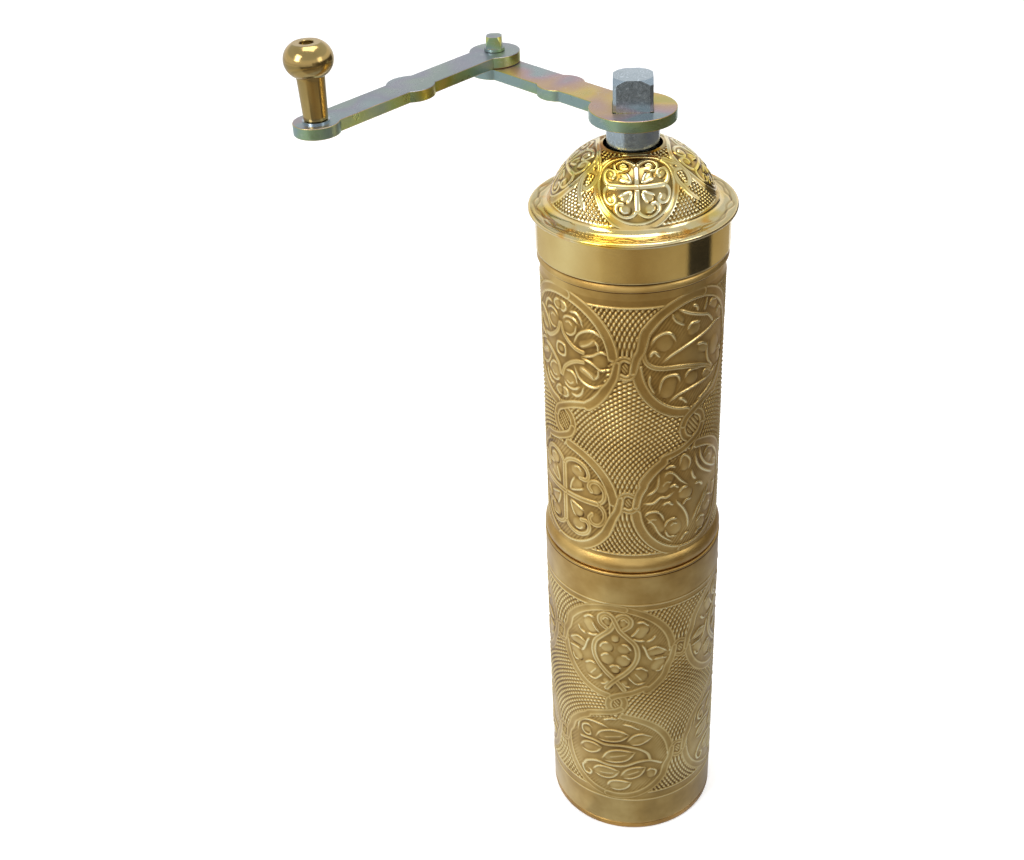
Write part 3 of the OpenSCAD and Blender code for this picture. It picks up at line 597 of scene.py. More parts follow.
def embossed_wall(names, top, splits, foot, radius, inner, sheet, first, body, stands_for, stain, depth, painted_shade_bands):
    """A tube of embossed sheet, made as rings that join at the given heights."""
    steps = round(2 * math.pi * radius / wall_spacing)
    for i, name in enumerate(names):
        wall = [(radius, z) for z in rows(splits[i], splits[i + 1], wall_spacing)]
        over = top if i == 0 else []
        under = foot if i == len(names) - 1 else []
        ends = [(inner, under[-1][1] if under else splits[i + 1]), (inner, over[0][1] if over else splits[i])]
        ring = rolled(name, over + wall + under + ends, steps)
        emboss(ring, sheet, first, radius, stain, depth, painted_shade_bands)
        dress(ring, body, None if i else stands_for, satin_brass)


cup_lip = [(-0.15, 102.3), (0.05, 102.15), (0.1, 101.8), (0, 101.5), (-0.12, 101.35), (-0.12, 101.25)]
cup_lip += [(0, 101.1), (0, 100.8), (0, 97)]
cup_foot = [(0, 7), (0, 3), (0, 2.6), (-0.12, 2.4)]
embossed_wall(
    ("cup_wall_upper", "cup_wall_middle", "cup_wall_lower"),
    [(cup_ri + 0.2, cup_rim)] + [(cup_r + out, z) for out, z in cup_lip],
    cup_splits,
    [(cup_r + out, z) for out, z in cup_foot],
    cup_r,
    cup_ri,
    cup_sheet,
    cup_first - cup_pitch / 2,
    "receiver",
    "cup_tube",
    stain=0.9,
    depth=0.95,
    # painted shade: dark lines in the groove under the lip and in the gap at the foot where the base cap meets
    # the tube
    painted_shade_bands=((101.2, 101.4, 0.3), (2.3, 2.5, 0.25)),
)


# Cup base: a turned brass cap pushed into the foot of the tube. Its rim stands flush with the
# wall and leaves a fine seam line round the foot, and its upstand holds it inside.
base_rim = [(0, 0.25), (20, 0.25), (20.6, 0), (24.2, 0), (24.6, 0.15), (24.9, 0.45), (25, 0.8), (25, 2.25)]
base_upstand = [(24.88, 2.38), (23.97, 2.38), (23.97, 6.4), (22.97, 6.4), (22.97, 1.4), (22.6, 1.2), (0, 1.2)]
base_stain = 0.09
cup_base = spun("cup_base_cap", base_rim + base_upstand, steps=160)
mark(cup_base.data, "hollow", base_stain)
dress(cup_base, "receiver", "cup_base", satin_brass)


# Mill casing: a second drawn brass tube, which holds the beans and the burrs. A rolled bead at
# each end stiffens it, a plain spigot slips into the cup and a plain neck into the lid. Its
# medallions show a woven knot, a cross of hearts, half palmettes and leaf scrolls in turn.
casing_r, casing_ri, casing_top = 23.9, 22.9, 201.3
casing_pitch = 2 * math.pi * casing_r / 4
casing_rows = (168.75, 124.1)
casing_first = -20.65 - casing_pitch / 2
casing_splits = (186.6, 160.4, 133.9, 107.5)
woven_knot = [
    (2.5, [(3, 7.6), (3.1, 7.8)]),
    (1.2, [(1, 12.6), (1.2, 12.7)]),
    (1.2, [(7.4, 3.6), (10.4, 5)]),
    (1.8, [(12, 0.6), (12.8, 0.2)]),
    (0, [(0.8, 9), (2.4, 10.3), (4.6, 10.3), (6.4, 9.1)]),
    (0, [(5.6, 8.6), (5.2, 6.6), (3.5, 5.3), (1.6, 5.6)]),
    (0, [(1.8, 8.4), (3.2, 9), (4.6, 8)]),
    (-0.55, [(0.3, 7.4), (1.2, 5), (3.2, 3), (5.4, 1.8), (7.6, 1.4)]),
    (0, [(4.6, 3.2), (6.2, 6.3), (8.6, 7.9), (11, 8), (13.6, 6.4)]),
    (0, [(6.6, 3), (9, 4.1), (11, 5.8)]),
    (0, [(7, 0.2), (10.1, 1.1), (12.6, 2.6), (14.4, 2)]),
    (0, [(10.9, 5.6), (11.9, 4.2), (11.9, 2.6)]),
    (0, [(0, 14), (1.5, 13.7), (2.4, 12.6), (1.4, 11.4), (0, 11.5)]),
    (0, [(3.4, 11.9), (5.4, 12.1), (7, 10.7), (7.7, 8.6)]),
    (1.1, [(0, 0), (0.1, 0)]),
    (0, [(-0.6, 1.9), (1.4, 1.4), (1.9, -0.6)]),
]
volute_cross = [
    (1.2, [(2.8, 5.4), (3.3, 5.2)]),
    (1.1, [(6.3, 2.9), (6.5, 3.1)]),
    (1.0, [(2.4, 2.3), (3, 2.8)]),
    (0, [(1.3, 1), (1.7, 2.6), (2.4, 3.9)]),
    (0, [(1.3, 1), (2.9, 1.6), (4.2, 2.2)]),
    (0, [(2.2, 6), (3.2, 6.2), (4, 5.4)]),
    (-0.4, [(0, 4.8), (0.4, 6.2), (1.6, 7.1), (3.2, 7.3), (4.7, 6.5), (5.2, 5.2), (4.7, 4.2), (3.6, 4.2)]),
    (-0.4, [(6, 0), (7.3, 0.4), (8, 1.5), (7.9, 3), (7, 4.2), (5.8, 4.2), (5.2, 3.2), (5.7, 2.3)]),
    (-0.5, [(0, 0), (0, 3), (0, 5.4)]),
    (-0.5, [(0, 0), (4, 0), (6.6, 0)]),
]
half_palmettes = [
    (2.4, [(-8.6, 5.2), (-8.8, 5.8)]),
    (1.7, [(-0.5, 7), (0.3, 7.2)]),
    (1.0, [(-5.4, 12.2), (-4.2, 10.8)]),
    (1.3, [(6.6, 12), (8.4, 10.8)]),
    (1.5, [(10.2, 8.2), (11.2, 6.8)]),
    (1.3, [(2.8, 0.8), (4.4, 0)]),
    (2.2, [(-7.2, -6.8), (-7.7, -8.8)]),
    (1.9, [(-0.8, -6.8), (-0.2, -7.2)]),
    (1.2, [(4.4, -7.7), (5.8, -8.2)]),
    (2.5, [(8.4, -0.6), (8.8, -1.4)]),
    (1.4, [(11.2, -4.4), (11.6, -6)]),
    (0, [(-12.4, 5), (-11, 7.1), (-8.7, 8.1), (-6.8, 7.4), (-5.5, 5)]),
    (0, [(-12.6, 1.8), (-11.4, 3.2), (-9.8, 1.4)]),
    (0, [(-2.4, 7.4), (-0.9, 8.9), (2, 8.5)]),
    (0, [(-6.9, 13.1), (-5.7, 10.9), (-3.1, 9)]),
    (0, [(-5.2, 14), (-1.7, 12), (2, 10.4), (6, 8.9)]),
    (0, [(-0.8, 14), (0.6, 13.2), (1, 11.8)]),
    (0, [(4.4, 14.4), (4, 12.6), (3.3, 11.1)]),
    (0, [(5.2, 11.6), (6.6, 12.8), (8.8, 12)]),
    (0, [(4.1, 10), (5.8, 8.4), (7.4, 6.3)]),
    (0, [(8.8, 8), (10.4, 9.2), (12, 7.6)]),
    (0, [(1, 2.2), (3.2, 1.8), (5, 0.4)]),
    (0, [(-10, -9.3), (-9.4, -6.1), (-8, -4.5), (-5, -4.8), (-4.1, -7.1)]),
    (0, [(-2.8, -6.4), (-1.7, -4.8), (0.2, -4.5), (2.4, -5.1)]),
    (0, [(3.2, -7.6), (5, -6.6), (7.4, -8.5)]),
    (0, [(-4.5, -11.8), (-3, -12.6), (-1.9, -14)]),
    (0, [(-12.3, -3.4), (-12.5, -6), (-11.1, -9.2)]),
    (0, [(5.4, 1.1), (5, -1.7), (5.8, -4.6), (8.2, -7.2)]),
    (0, [(10, -3.2), (11.6, -2.8), (12.6, -4.6)]),
    (
        -0.6,
        [(-14.2, 4.3), (-13.7, 1), (-12.2, -0.9), (-9.6, -1.9)]
        + [(-4.3, -2.6), (0.2, -3.7), (4.3, -5.2), (7, -7)],
    ),
    (0, [(-9.3, -0.3), (-6.9, 1.3), (-4.3, 2.4), (-0.2, 3.7), (5.7, 5), (9.1, 5.8), (12.6, 5)]),
    (0, [(-7.4, -12.3), (-5.4, -11.1), (-3.5, -10.4), (0.2, -9.8), (5.7, -9.2), (9.1, -8), (11.4, -7.8)]),
    (0, [(1.7, -14.4), (4.3, -13.5), (8.5, -11.2)]),
]
scroll_leaves = [
    (2.3, [(-7.4, 9), (-8.6, 6.4)]),
    (1.7, [(-11.4, -3.4), (-9.2, -7.4)]),
    (2.5, [(-5.4, -7.6), (-5, -8.4)]),
    (1.6, [(-2.2, 13), (-1.8, 11)]),
    (1.8, [(-2, 2.2), (-0.8, 1.6)]),
    (2.3, [(7.2, 10.4), (8.2, 9.4)]),
    (2.3, [(7.4, -5.4), (7.9, -6.2)]),
    (1.9, [(4.6, -10.6), (5, -11.2)]),
    (1.5, [(11.4, 6.6), (12, 5)]),
    (1.5, [(11.8, -1.6), (11.3, -4)]),
    (0, [(-8, 11.7), (-6.4, 12.3), (-4.8, 11.6)]),
    (0, [(-8.3, 9), (-7.6, 10.2), (-6.4, 10.3), (-5, 9.3), (-3.2, 6.9), (-0.7, 4.4)]),
    (0, [(-9.6, 10.4), (-9.9, 7.2), (-10.9, 5.2), (-13, 4)]),
    (0, [(-14, 1.5), (-11.3, 1.3), (-9.1, 2.8), (-7.4, 2.5), (-5.2, 3.8)]),
    (0, [(-13.6, -2.8), (-12.4, -1.7), (-10.4, -1.6), (-8.9, -2.7), (-7.9, -5.2)]),
    (0, [(-13.2, -3), (-10.9, -5.7), (-9.1, -9.4), (-5.5, -12.9)]),
    (0, [(-7.9, -7.4), (-7.2, -5.8), (-5.7, -5.1), (-4, -5.5)]),
    (0, [(-7.7, -8.2), (-6.6, -10.6), (-4.2, -11.3)]),
    (0, [(-3.7, 11.5), (-3.1, 14.2), (-1.7, 14.4), (-0.2, 12.2), (-0.6, 9.6)]),
    (0, [(-3.8, 3), (-2.4, 4.1), (-0.8, 3.9)]),
    (0, [(-4.6, 0.8), (-3.2, -1.2), (-1.8, -3.4), (-0.6, -6.4), (-0.4, -9.8)]),
    (0, [(1.6, 13.6), (2.4, 10.2), (4.2, 7.6), (6.8, 5.4), (10.2, 2.9)]),
    (0, [(3.4, 14.6), (4, 11.4), (6, 8.4), (9, 6), (12.8, 3.7)]),
    (0, [(6.7, -0.4), (5, -3), (3.2, -5.2), (1.4, -8.2)]),
    (0, [(8.4, 0.6), (6.8, -2), (5, -4.4), (3.2, -7.6)]),
    (0, [(5.2, 11.4), (7.2, 12.8), (9.6, 11.6)]),
    (0, [(5.2, -4.6), (7.4, -2.9), (9.8, -4.2)]),
    (0, [(2.8, -9.8), (4.6, -8.5), (6.8, -9.8)]),
    (0, [(10.6, -8), (9.2, -10.4), (7.4, -11.6)]),
    (0, [(2, 3.6), (3.8, 3.2), (5.2, 1.6)]),
    (0, [(-8.8, 6.2), (-7.6, 7.6), (-6, 7.2)]),
    (0, [(-6.6, 5.6), (-5, 5.8), (-3.8, 4.6)]),
    (0, [(-12.6, -5.2), (-11.4, -4), (-10, -4.2)]),
    (0, [(-8.6, 0.2), (-6.8, 0.6), (-5.4, -0.6)]),
    (0, [(-6.2, -7.4), (-5.2, -6.6), (-4, -7.2)]),
    (0, [(-2.8, -13.4), (-1.6, -12), (0.2, -11.8)]),
    (0, [(-2.4, -1.6), (-1.2, -0.4), (0.6, -0.6)]),
    (0, [(0.4, 8.8), (1, 6.6), (2.2, 5)]),
    (0, [(6, 9.6), (7.4, 10.6), (8.8, 9.4)]),
    (0, [(10.6, 7.4), (12, 6.4), (12.6, 4.8)]),
    (0, [(10.4, -0.6), (11.8, -1), (12.4, -2.8)]),
    (0, [(6.6, -6.8), (8, -5.4), (9.2, -6.6)]),
    (0, [(2.6, -13.6), (4, -12.6), (5.8, -13)]),
]
four_ways = [(sx, sy) for sx in (1, -1) for sy in (1, -1)]
casing_link = [(8.6, 7.7), (5.6, 7.0), (2.9, 6.1), (0, 4.6), (-2.3, 3.0), (-3.4, 0.8), (-3.4, -1.0)]
casing_link += [(-2.6, -2.8), (-1.0, -4.0)]
casing_field, casing_hatch_cores, casing_ring = (14.4, 15.2), (0.62, 0.4), (15.85, 16.75)
cross_size = 1.65
casing_sheet = relief_sheet(2 * casing_pitch, 107.4, 186.8)
beaded_ground(casing_sheet, casing_pitch / 2, casing_pitch, casing_rows, bead=1.15)
plain_bands(casing_sheet, low=108.3, high=184.5, beads=(184.4, 108.4), half=0.42)
columns = (0.5 * casing_pitch, 1.5 * casing_pitch)
for column, core in zip(columns, casing_hatch_cores):
    for height in casing_rows:
        hatched_ground(casing_sheet, column, height, *casing_field, core)
for column, height, motif, flips, size in (
    (columns[0], casing_rows[0], woven_knot, four_ways, 1),
    (columns[0], casing_rows[1], volute_cross, four_ways, cross_size),
    (columns[1], casing_rows[0], half_palmettes, four_ways[:1], 1),
    (columns[1], casing_rows[1], scroll_leaves, four_ways[:1], 1),
):
    medallion(casing_sheet, column, height, motif, flips, size)
strapwork(
    casing_sheet,
    columns,
    casing_pitch,
    casing_rows,
    casing_ring,
    knots=((0.1, 167.4), (0.9, 125.9)),
    link=(0.4, 147.2, 3.6),
    link_hook=casing_link,
    half=1.45,
    edge=0.17,
)
finish_sheet(casing_sheet, 107.6, 186.6)

upper_bead = [(0, 191.0), (0.3, 190.9), (0.5, 190.4), (0.62, 189.9), (0.7, 189.5), (0.72, 189.3)]
upper_bead += [(0.68, 189.1), (0.5, 188.95), (0.15, 188.8), (0.02, 188.65), (0, 188.4), (0, 187.5)]
lower_bead = [(0, 107.2), (0.2, 106.9), (0.5, 106.4), (0.8, 105.8), (1.0, 105.2), (1.1, 104.6)]
lower_bead += [(1.1, 104.1), (1.0, 103.5), (0.8, 102.95), (0.5, 102.5), (0, 102.4)]
neck = [(casing_ri + 0.2, casing_top), (casing_r - 0.15, casing_top), (casing_r, casing_top - 0.15)]
embossed_wall(
    ("casing_wall_upper", "casing_wall_middle", "casing_wall_lower"),
    neck + [(casing_r + out, z) for out, z in upper_bead],
    casing_splits,
    [(casing_r + out, z) for out, z in lower_bead] + [(casing_ri + 0.2, 102.35)],
    casing_r,
    casing_ri,
    casing_sheet,
    casing_first,
    "mill",
    "casing_tube",
    stain=1.0,
    depth=1.0,
    # painted shade: dark lines in the gap under the lid skirt, under the upper bead's lip and in the gap above
    # the cup
    painted_shade_bands=((190.85, 191.1, 0.16), (188.6, 188.9, 0.34), (102.36, 102.45, 0.3)),
)


# Spigot of the casing: the plain lower end of the same tube, with three countersunk holes for
# the screws that hold the burr ring. It is cut from the frame's own solid below the bead.
spigot_top = 102.3
bm = bmesh.new()
bm.from_mesh(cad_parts["casing_tube"].data)
bmesh.ops.remove_doubles(bm, verts=bm.verts, dist=1e-6)
cut = bmesh.ops.bisect_plane(
    bm,
    geom=bm.verts[:] + bm.edges[:] + bm.faces[:],
    plane_co=(0, 0, spigot_top * MM),
    plane_no=(0, 0, 1),
    clear_outer=True,
)
bmesh.ops.bridge_loops(bm, edges=[e for e in cut["geom_cut"] if isinstance(e, bmesh.types.BMEdge)])
bmesh.ops.recalc_face_normals(bm, faces=bm.faces)
spigot = piece("casing_spigot", bm)
dress(spigot, "mill", None, satin_brass)


# Bearing strap and bush: a folded steel strap across the top of the casing, with a turned brass
# bush that keeps the spindle upright. The burrs below are cast iron with milled teeth, held by
# three small screws, and a steel yoke under them carries the adjusting screw and its wings.
def plain_metal(name, dull, bright, gloss, grain=900, bump=0.15):
    """Machined metal: cloudy between two colours, with fine scratches."""
    made, tree, shader, _, marks = metal(name, cloud=70, scratch=120, grain=grain)
    tone = blended(tree, marks[0], dull, bright)
    lit = [min(1, 1.25 * c) for c in bright]
    tree.links.new(blended(tree, marks[1], tone, lit), shader.inputs["Base Color"])
    tree.links.new(rescaled(tree, marks[2], 0.3, 0.7, *gloss), shader.inputs["Roughness"])
    roughened(tree, shader, marks[2], bump)
    return made


def finish_solids(material, *names):
    """Gives the frame's own solids their finish."""
    for name in names:
        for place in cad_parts[name].material_slots:
            place.material = material


inner_steel = plain_metal("inner_steel", (0.38, 0.39, 0.40), (0.58, 0.58, 0.58), (0.26, 0.42))
burr_iron = plain_metal("burr_iron", (0.10, 0.095, 0.09), (0.24, 0.23, 0.22), (0.42, 0.62), 2200, 0.5)
bush_brass = plain_metal("bush_brass", (0.60, 0.42, 0.15), (0.80, 0.60, 0.26), (0.20, 0.34))
finish_solids(inner_steel, "bearing_strap", "burr_screws", "lower_yoke", "yoke_screws", "thrust_ball")
finish_solids(inner_steel, "adjusting_screw", "spring_washer", "cross_pin", "burr_washer", "burr_nut")
finish_solids(burr_iron, "outer_burr", "inner_burr")
finish_solids(bush_brass, "strap_bush", "adjuster_wings")


# Load spring: six turns of hard steel wire round the spindle, between the washer on the cross
# pin and the bush in the strap. It presses the inner burr down on its ball, and it shortens and
# stretches with the grind setting.
wire_r, coil_r, coil_low, coil_rise, coil_turns = 0.75, 7.1, 150.85, 26.3, 6
wire_sides, turn_steps = 12, 36
bm = bmesh.new()
ring = bmesh.ops.create_circle(bm, segments=wire_sides, radius=wire_r * MM)["verts"]
bmesh.ops.rotate(bm, verts=ring, cent=(0, 0, 0), matrix=Matrix.Rotation(math.pi / 2, 3, "X"))
bmesh.ops.translate(bm, verts=ring, vec=(coil_r * MM, 0, coil_low * MM))
coil_steps = coil_turns * turn_steps
bmesh.ops.spin(
    bm,
    geom=bm.verts[:] + bm.edges[:],
    cent=(0, 0, 0),
    axis=(0, 0, 1),
    dvec=(0, 0, coil_rise * MM / coil_steps),
    angle=2 * math.pi * coil_turns,
    steps=coil_steps,
)
bmesh.ops.holes_fill(bm, edges=[e for e in bm.edges if e.is_boundary], sides=0)
bmesh.ops.recalc_face_normals(bm, faces=bm.faces)
coil = piece("load_spring_coil", bm)
coil.data.materials.append(inner_steel)
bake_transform(coil)
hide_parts("load_spring")


# Lid dome: stamped from one brass sheet, polished and since tarnished in patches. Four round
# medallions with a cross of volutes stand on a beaded ground, hooked together by scrolls; the
# flange carries an engraved wave and ends in a rolled lip, and a plain ring rounds the hole.
def bow(x, z, radius, start, stop, count):
    """Part of a round in a half section, from one lean off the upright to another."""
    return [(x + radius * math.sin(a), z + radius * math.cos(a)) for a in np.linspace(start, stop, count)]


dome_r, dome_x, dome_z, lid_sheet = 18.9, 2.75, 199.58, 0.8
dome_start, dome_end = math.radians(14.24), math.radians(75.8)
fillet_r, flange_z, lip_x, lip_r = 2.0, 201.9, 25.65, 0.75
fillet_x = dome_x + (dome_r + fillet_r) * math.sin(dome_end)
fillet_z = dome_z + (dome_r + fillet_r) * math.cos(dome_end)
dome_len = dome_r * (dome_end - dome_start)
flange_top = flange_z + lid_sheet
outer = bow(dome_x, dome_z, dome_r, dome_start, dome_end, 100)
outer += bow(fillet_x, fillet_z, -fillet_r, dome_end, 0, 14)[1:]
outer += [(r, flange_top) for r in rows(fillet_x, lip_x, 0.3)[1:]]
outer += bow(lip_x, flange_top - lip_r, lip_r, 0, math.radians(250), 16)[1:]
inner = [(fillet_x, flange_z)]
inner += bow(fillet_x, fillet_z, -(fillet_r + lid_sheet), 0, dome_end, 6)[1:]
inner += bow(dome_x, dome_z, dome_r - lid_sheet, dome_end, math.radians(15), 12)[1:]
lid_dome = rolled("lid_dome_shell", outer + inner, steps=620)

round_turn, gore_mid, ring_y = math.radians(3.5), 18.0, 10.1
dome_field, dome_ring = (9.6, 9.0), (9.2, 8.6)
dome_sheet = relief_sheet(2 * gore_mid, 0, dome_len, cell=0.1)
x, y = np.meshgrid(dome_sheet["xs"], dome_sheet["ys"])
slant = [0.5 + 0.5 * np.cos(2 * math.pi * (sign * 0.88 * (x - gore_mid) + 0.6 * y)) for sign in (1, -1)]
dome_sheet["h"] = -0.14 + 0.36 * slant[0] * slant[1]
plain_bands(dome_sheet, low=0.5, high=dome_len - 0.9, beads=[0.6], half=0.4, level=-0.02, height=0.34)
field = ((x - gore_mid) / dome_field[0]) ** 2 + ((y - ring_y) / dome_field[1]) ** 2 < 1
dome_sheet["h"][field] = -0.1
medallion(dome_sheet, gore_mid, ring_y, volute_cross, four_ways)
a = np.radians(np.linspace(-90, 275, 62))
half = 0.85 - 0.35 * np.sin(a)
ring = [gore_mid + (dome_ring[0] + half) * np.cos(a), ring_y + (dome_ring[1] + half) * np.sin(a)]
strap(dome_sheet, np.stack(ring, 1), half, level=0.0, edge=0.11)
scroll = [(-1.4, 6.4), (-0.3, 5.2), (0.8, 3.6), (1.6, 1.9), (1.9, 0.2), (1.5, -1.4), (0.4, -2.3), (-0.9, -2.0)]
scroll = np.array(scroll)
scroll_half, scroll_lift = np.linspace(0.65, 0.45, len(scroll)), 0.4
for side in (-1, 1):
    for line in (scroll, -scroll):
        y = ring_y + scroll_lift + line[:, 1]
        edge = side * (dome_x + dome_r * np.sin(dome_end - y / dome_r)) * math.pi / 4
        line = np.stack([gore_mid + edge + line[:, 0], y], 1)
        strap(dome_sheet, line, scroll_half, level=-0.01, edge=0.1)
dome_sheet["h"] = dome_sheet["h"][::-1].copy()
finish_sheet(dome_sheet, 0.2, dome_len - 0.1)

mesh = lid_dome.data
co = read(mesh.vertices, "co")
r, z = np.hypot(co[:, 0], co[:, 1]) / MM, co[:, 2] / MM
from_centre = np.hypot(r - dome_x, z - dome_z)
lean = np.arctan2(r - dome_x, z - dome_z)
on_dome = (from_centre > dome_r - 0.05) & (lean < dome_end + 0.001)
down = (lean - dome_start) * dome_r
turn = np.arctan2(co[:, 0], -co[:, 1])
u = gore_mid + r * ((turn - round_turn + math.pi / 4) % (math.pi / 2) - math.pi / 4)
h = np.where(on_dome, lookup(dome_sheet, "h", u, down), 0)
hollow = np.where(on_dome, lookup(dome_sheet, "hollow", u, down), 0)
on_flange = (z > flange_top - 0.02) & (r > fillet_x) & (r < lip_x)
wave_depth, wave_half = 0.1, 0.26
wave = 0
for mid, lag in ((23.9, 0), (24.6, 1.6)):
    off = r - mid - 0.35 * np.sin(turn * 13 + lag) - 0.25 * np.sin(turn * 21 + 2 * lag)
    wave = wave + np.exp(-((off / wave_half) ** 2))
dent = np.where(on_flange, -wave_depth * wave, 0)
side = np.stack([np.sin(turn) * np.sin(lean), -np.cos(turn) * np.sin(lean), np.cos(lean)], 1)
co += side * (h * MM)[:, None]
co[:, 2] += dent * MM
mesh.vertices.foreach_set("co", co.ravel())
mark(mesh, "hollow", 1.5 * hollow + 0.04 * (hollow != 0) - dent)
mesh.update()
tarnished_brass = antiqued(
    "tarnished_brass",
    [
        (0.0, (0.94, 0.89, 0.64)),
        (0.35, (0.83, 0.71, 0.42)),
        (0.62, (0.66, 0.49, 0.21)),
        (1.0, (0.18, 0.11, 0.03)),
    ],
    gloss=(0.07, 0.18),
    contrast=2.8,
    stains=0.16,
    films=[((1.0, 0.86, 0.3), 75, 0.46, 0.62), ((1.0, 0.68, 0.3), 130, 0.6, 0.7)],
)
dress(lid_dome, "lid", "lid_dome", tarnished_brass)


# Lid skirt: a plain polished brass band soldered under the dome's flange. It slips over the
# casing's neck and mirrors the room in one broad sweep.
polished_brass = antiqued(
    "polished_brass",
    [
        (0.0, (0.94, 0.86, 0.56)),
        (0.35, (0.82, 0.66, 0.32)),
        (0.62, (0.66, 0.48, 0.19)),
        (1.0, (0.18, 0.11, 0.03)),
    ],
    gloss=(0.07, 0.18),
    contrast=2.8,
    stains=0.16,
)
skirt_section = [(24.0, 201.88), (24.8, 201.88), (24.8, 191.8), (24.8, 191.55), (24.74, 191.38)]
skirt_section += [(24.6, 191.3), (24.15, 191.3), (24.0, 191.45)]
lid_skirt = spun("lid_skirt_band", skirt_section, steps=192)
dress(lid_skirt, "lid", "lid_skirt", polished_brass)


# Drive spindle: turned and milled from steel bar and bright zinc plated. The collar shows above
# the dome, and the crank sits on its square, whose top is chamfered by turning.
def softened(name, source, width, crisp_from=50, one_face=36):
    """A copy of one of the frame's solids with its sharp edges rounded over. The wide faces
    lead the shading, so that they stay flat and only the edges catch the light."""
    bm = bmesh.new()
    bm.from_mesh(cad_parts[source].data)
    bmesh.ops.remove_doubles(bm, verts=bm.verts, dist=1e-6)
    bmesh.ops.dissolve_limit(bm, angle_limit=math.radians(1), verts=bm.verts, edges=bm.edges)
    steep = math.radians(crisp_from)
    crisp = [e for e in bm.edges if len(e.link_faces) == 2 and e.calc_face_angle(0) > steep]
    bmesh.ops.bevel(
        bm,
        geom=crisp,
        offset=width * MM,
        offset_type="OFFSET",
        affect="EDGES",
        segments=3,
        profile=0.5,
        material=-1,
        clamp_overlap=True,
    )
    bmesh.ops.triangulate(bm, faces=bm.faces)
    bmesh.ops.recalc_face_normals(bm, faces=bm.faces)
    made = piece(name, bm, sharp=30)
    mesh = made.data
    facing = read(mesh.polygons, "normal")
    area, corner = np.zeros(len(mesh.polygons)), np.zeros(len(mesh.loops), int)
    mesh.polygons.foreach_get("area", area)
    mesh.loops.foreach_get("vertex_index", corner)
    order = np.argsort(corner, kind="stable")
    ends = np.searchsorted(corner[order], np.arange(len(mesh.vertices) + 1))
    shading = np.zeros((len(corner), 3))
    for start, stop in zip(ends, ends[1:]):
        faces = order[start:stop] // 3
        normals = facing[faces]
        alike = normals @ normals.T > math.cos(math.radians(one_face))
        shading[order[start:stop]] = alike @ (normals * area[faces, None])
    shading /= np.linalg.norm(shading, axis=1)[:, None] + 1e-30
    mesh.normals_split_custom_set(shading)
    return made


spindle_edge = 0.12
spindle_steel = plain_metal("spindle_steel", (0.33, 0.39, 0.42), (0.46, 0.53, 0.58), (0.14, 0.26), 1200, 0.12)
spindle = softened("drive_spindle_bar", "drive_spindle", spindle_edge)
dress(spindle, "spindle", "drive_spindle", spindle_steel)


# Crank arms: two flat arms blanked from steel, with crisp edges, and yellow zinc plated. The
# plating's film shimmers: grey and lilac on top, gold, olive and green on the sheared edges.
arm_zinc, tree, shader, place, marks = metal("arm_zinc", cloud=60, scratch=120, grain=500)
film_drift = 0.26
broad = noise(tree, place, 48.0, 1.5, Distortion=0.6)[0]
film = node(tree, "ShaderNodeAttribute", attribute_name="film").outputs["Fac"]
film = reckoned(tree, "ADD", film, rescaled(tree, broad, 0.3, 0.7, -film_drift, film_drift))
shimmer = graded(
    tree,
    film,
    [
        (0.0, (0.28, 0.33, 0.30)),
        (0.14, (0.28, 0.28, 0.33)),
        (0.28, (0.28, 0.35, 0.35)),
        (0.38, (0.43, 0.29, 0.31)),
        (0.5, (0.51, 0.32, 0.21)),
        (0.6, (0.64, 0.44, 0.11)),
        (0.74, (0.44, 0.42, 0.09)),
        (0.88, (0.32, 0.45, 0.24)),
        (1.0, (0.30, 0.41, 0.40)),
    ],
)
scuffed = reckoned(tree, "MULTIPLY", marks[1], 0.25)
tree.links.new(blended(tree, scuffed, shimmer, (0.62, 0.62, 0.56)), shader.inputs["Base Color"])
tree.links.new(rescaled(tree, marks[0], 0.3, 0.7, 0.24, 0.36), shader.inputs["Roughness"])
roughened(tree, shader, marks[2], 0.03)


def plated(name, source, body, width, on_flats, on_edges):
    """A softened copy whose film of plating differs between its flat faces and its edges."""
    made = softened(name, source, width)
    level = np.abs(read(made.data.vertices, "normal")[:, 2])
    mark(made.data, "film", on_edges + (on_flats - on_edges) * level)
    dress(made, body, source, arm_zinc)


arm_edge = 0.2
plated("crank_inner_arm_blank", "crank_inner_arm", "inner_arm", arm_edge, on_flats=0.42, on_edges=0.92)
plated("crank_outer_arm_blank", "crank_outer_arm", "outer_arm", arm_edge, on_flats=0.08, on_edges=0.84)


# Pivot pin: the rivet at the fold of the crank, with a washer-like flange and a squarish head,
# plated with the arms.
pivot_edge = 0.18
plated("pivot_pin_rivet", "pivot_pin", "inner_arm", pivot_edge, on_flats=0.1, on_edges=0.95)


# Knob and its pin: a turned and polished brass ball on a tapering stem, which spins on a steel
# pin; the pin's head lies deep in the recess on top.
knob_at, knob_z = (-74.449, -14.431), 230.5
ball_z, ball_x, ball_r = 14.3, 1.6, 4.3
stem_lean, flat_z, recess_r, recess_deep = math.radians(26), 18.2, 1.7, 2.5
knob_stain = 0.1
knob_section = [(1.3, 0), (2.75, 0), (2.95, 0.2), (3.36, 9.75)]
knob_section += bow(ball_x, ball_z, ball_r, math.pi - stem_lean, math.acos((flat_z - ball_z) / ball_r), 40)
knob_section += [(3.2, flat_z), (recess_r + 0.15, flat_z), (recess_r, flat_z - 0.15)]
knob_section += [(recess_r, flat_z - recess_deep), (1.3, flat_z - recess_deep)]
knob = spun("knob_ball", [(r, knob_z + z) for r, z in knob_section], steps=96, at=knob_at)
mark(knob.data, "hollow", knob_stain)
dress(knob, "knob", "knob", polished_brass)
finish_solids(spindle_steel, "knob_pin", "knob_washer")


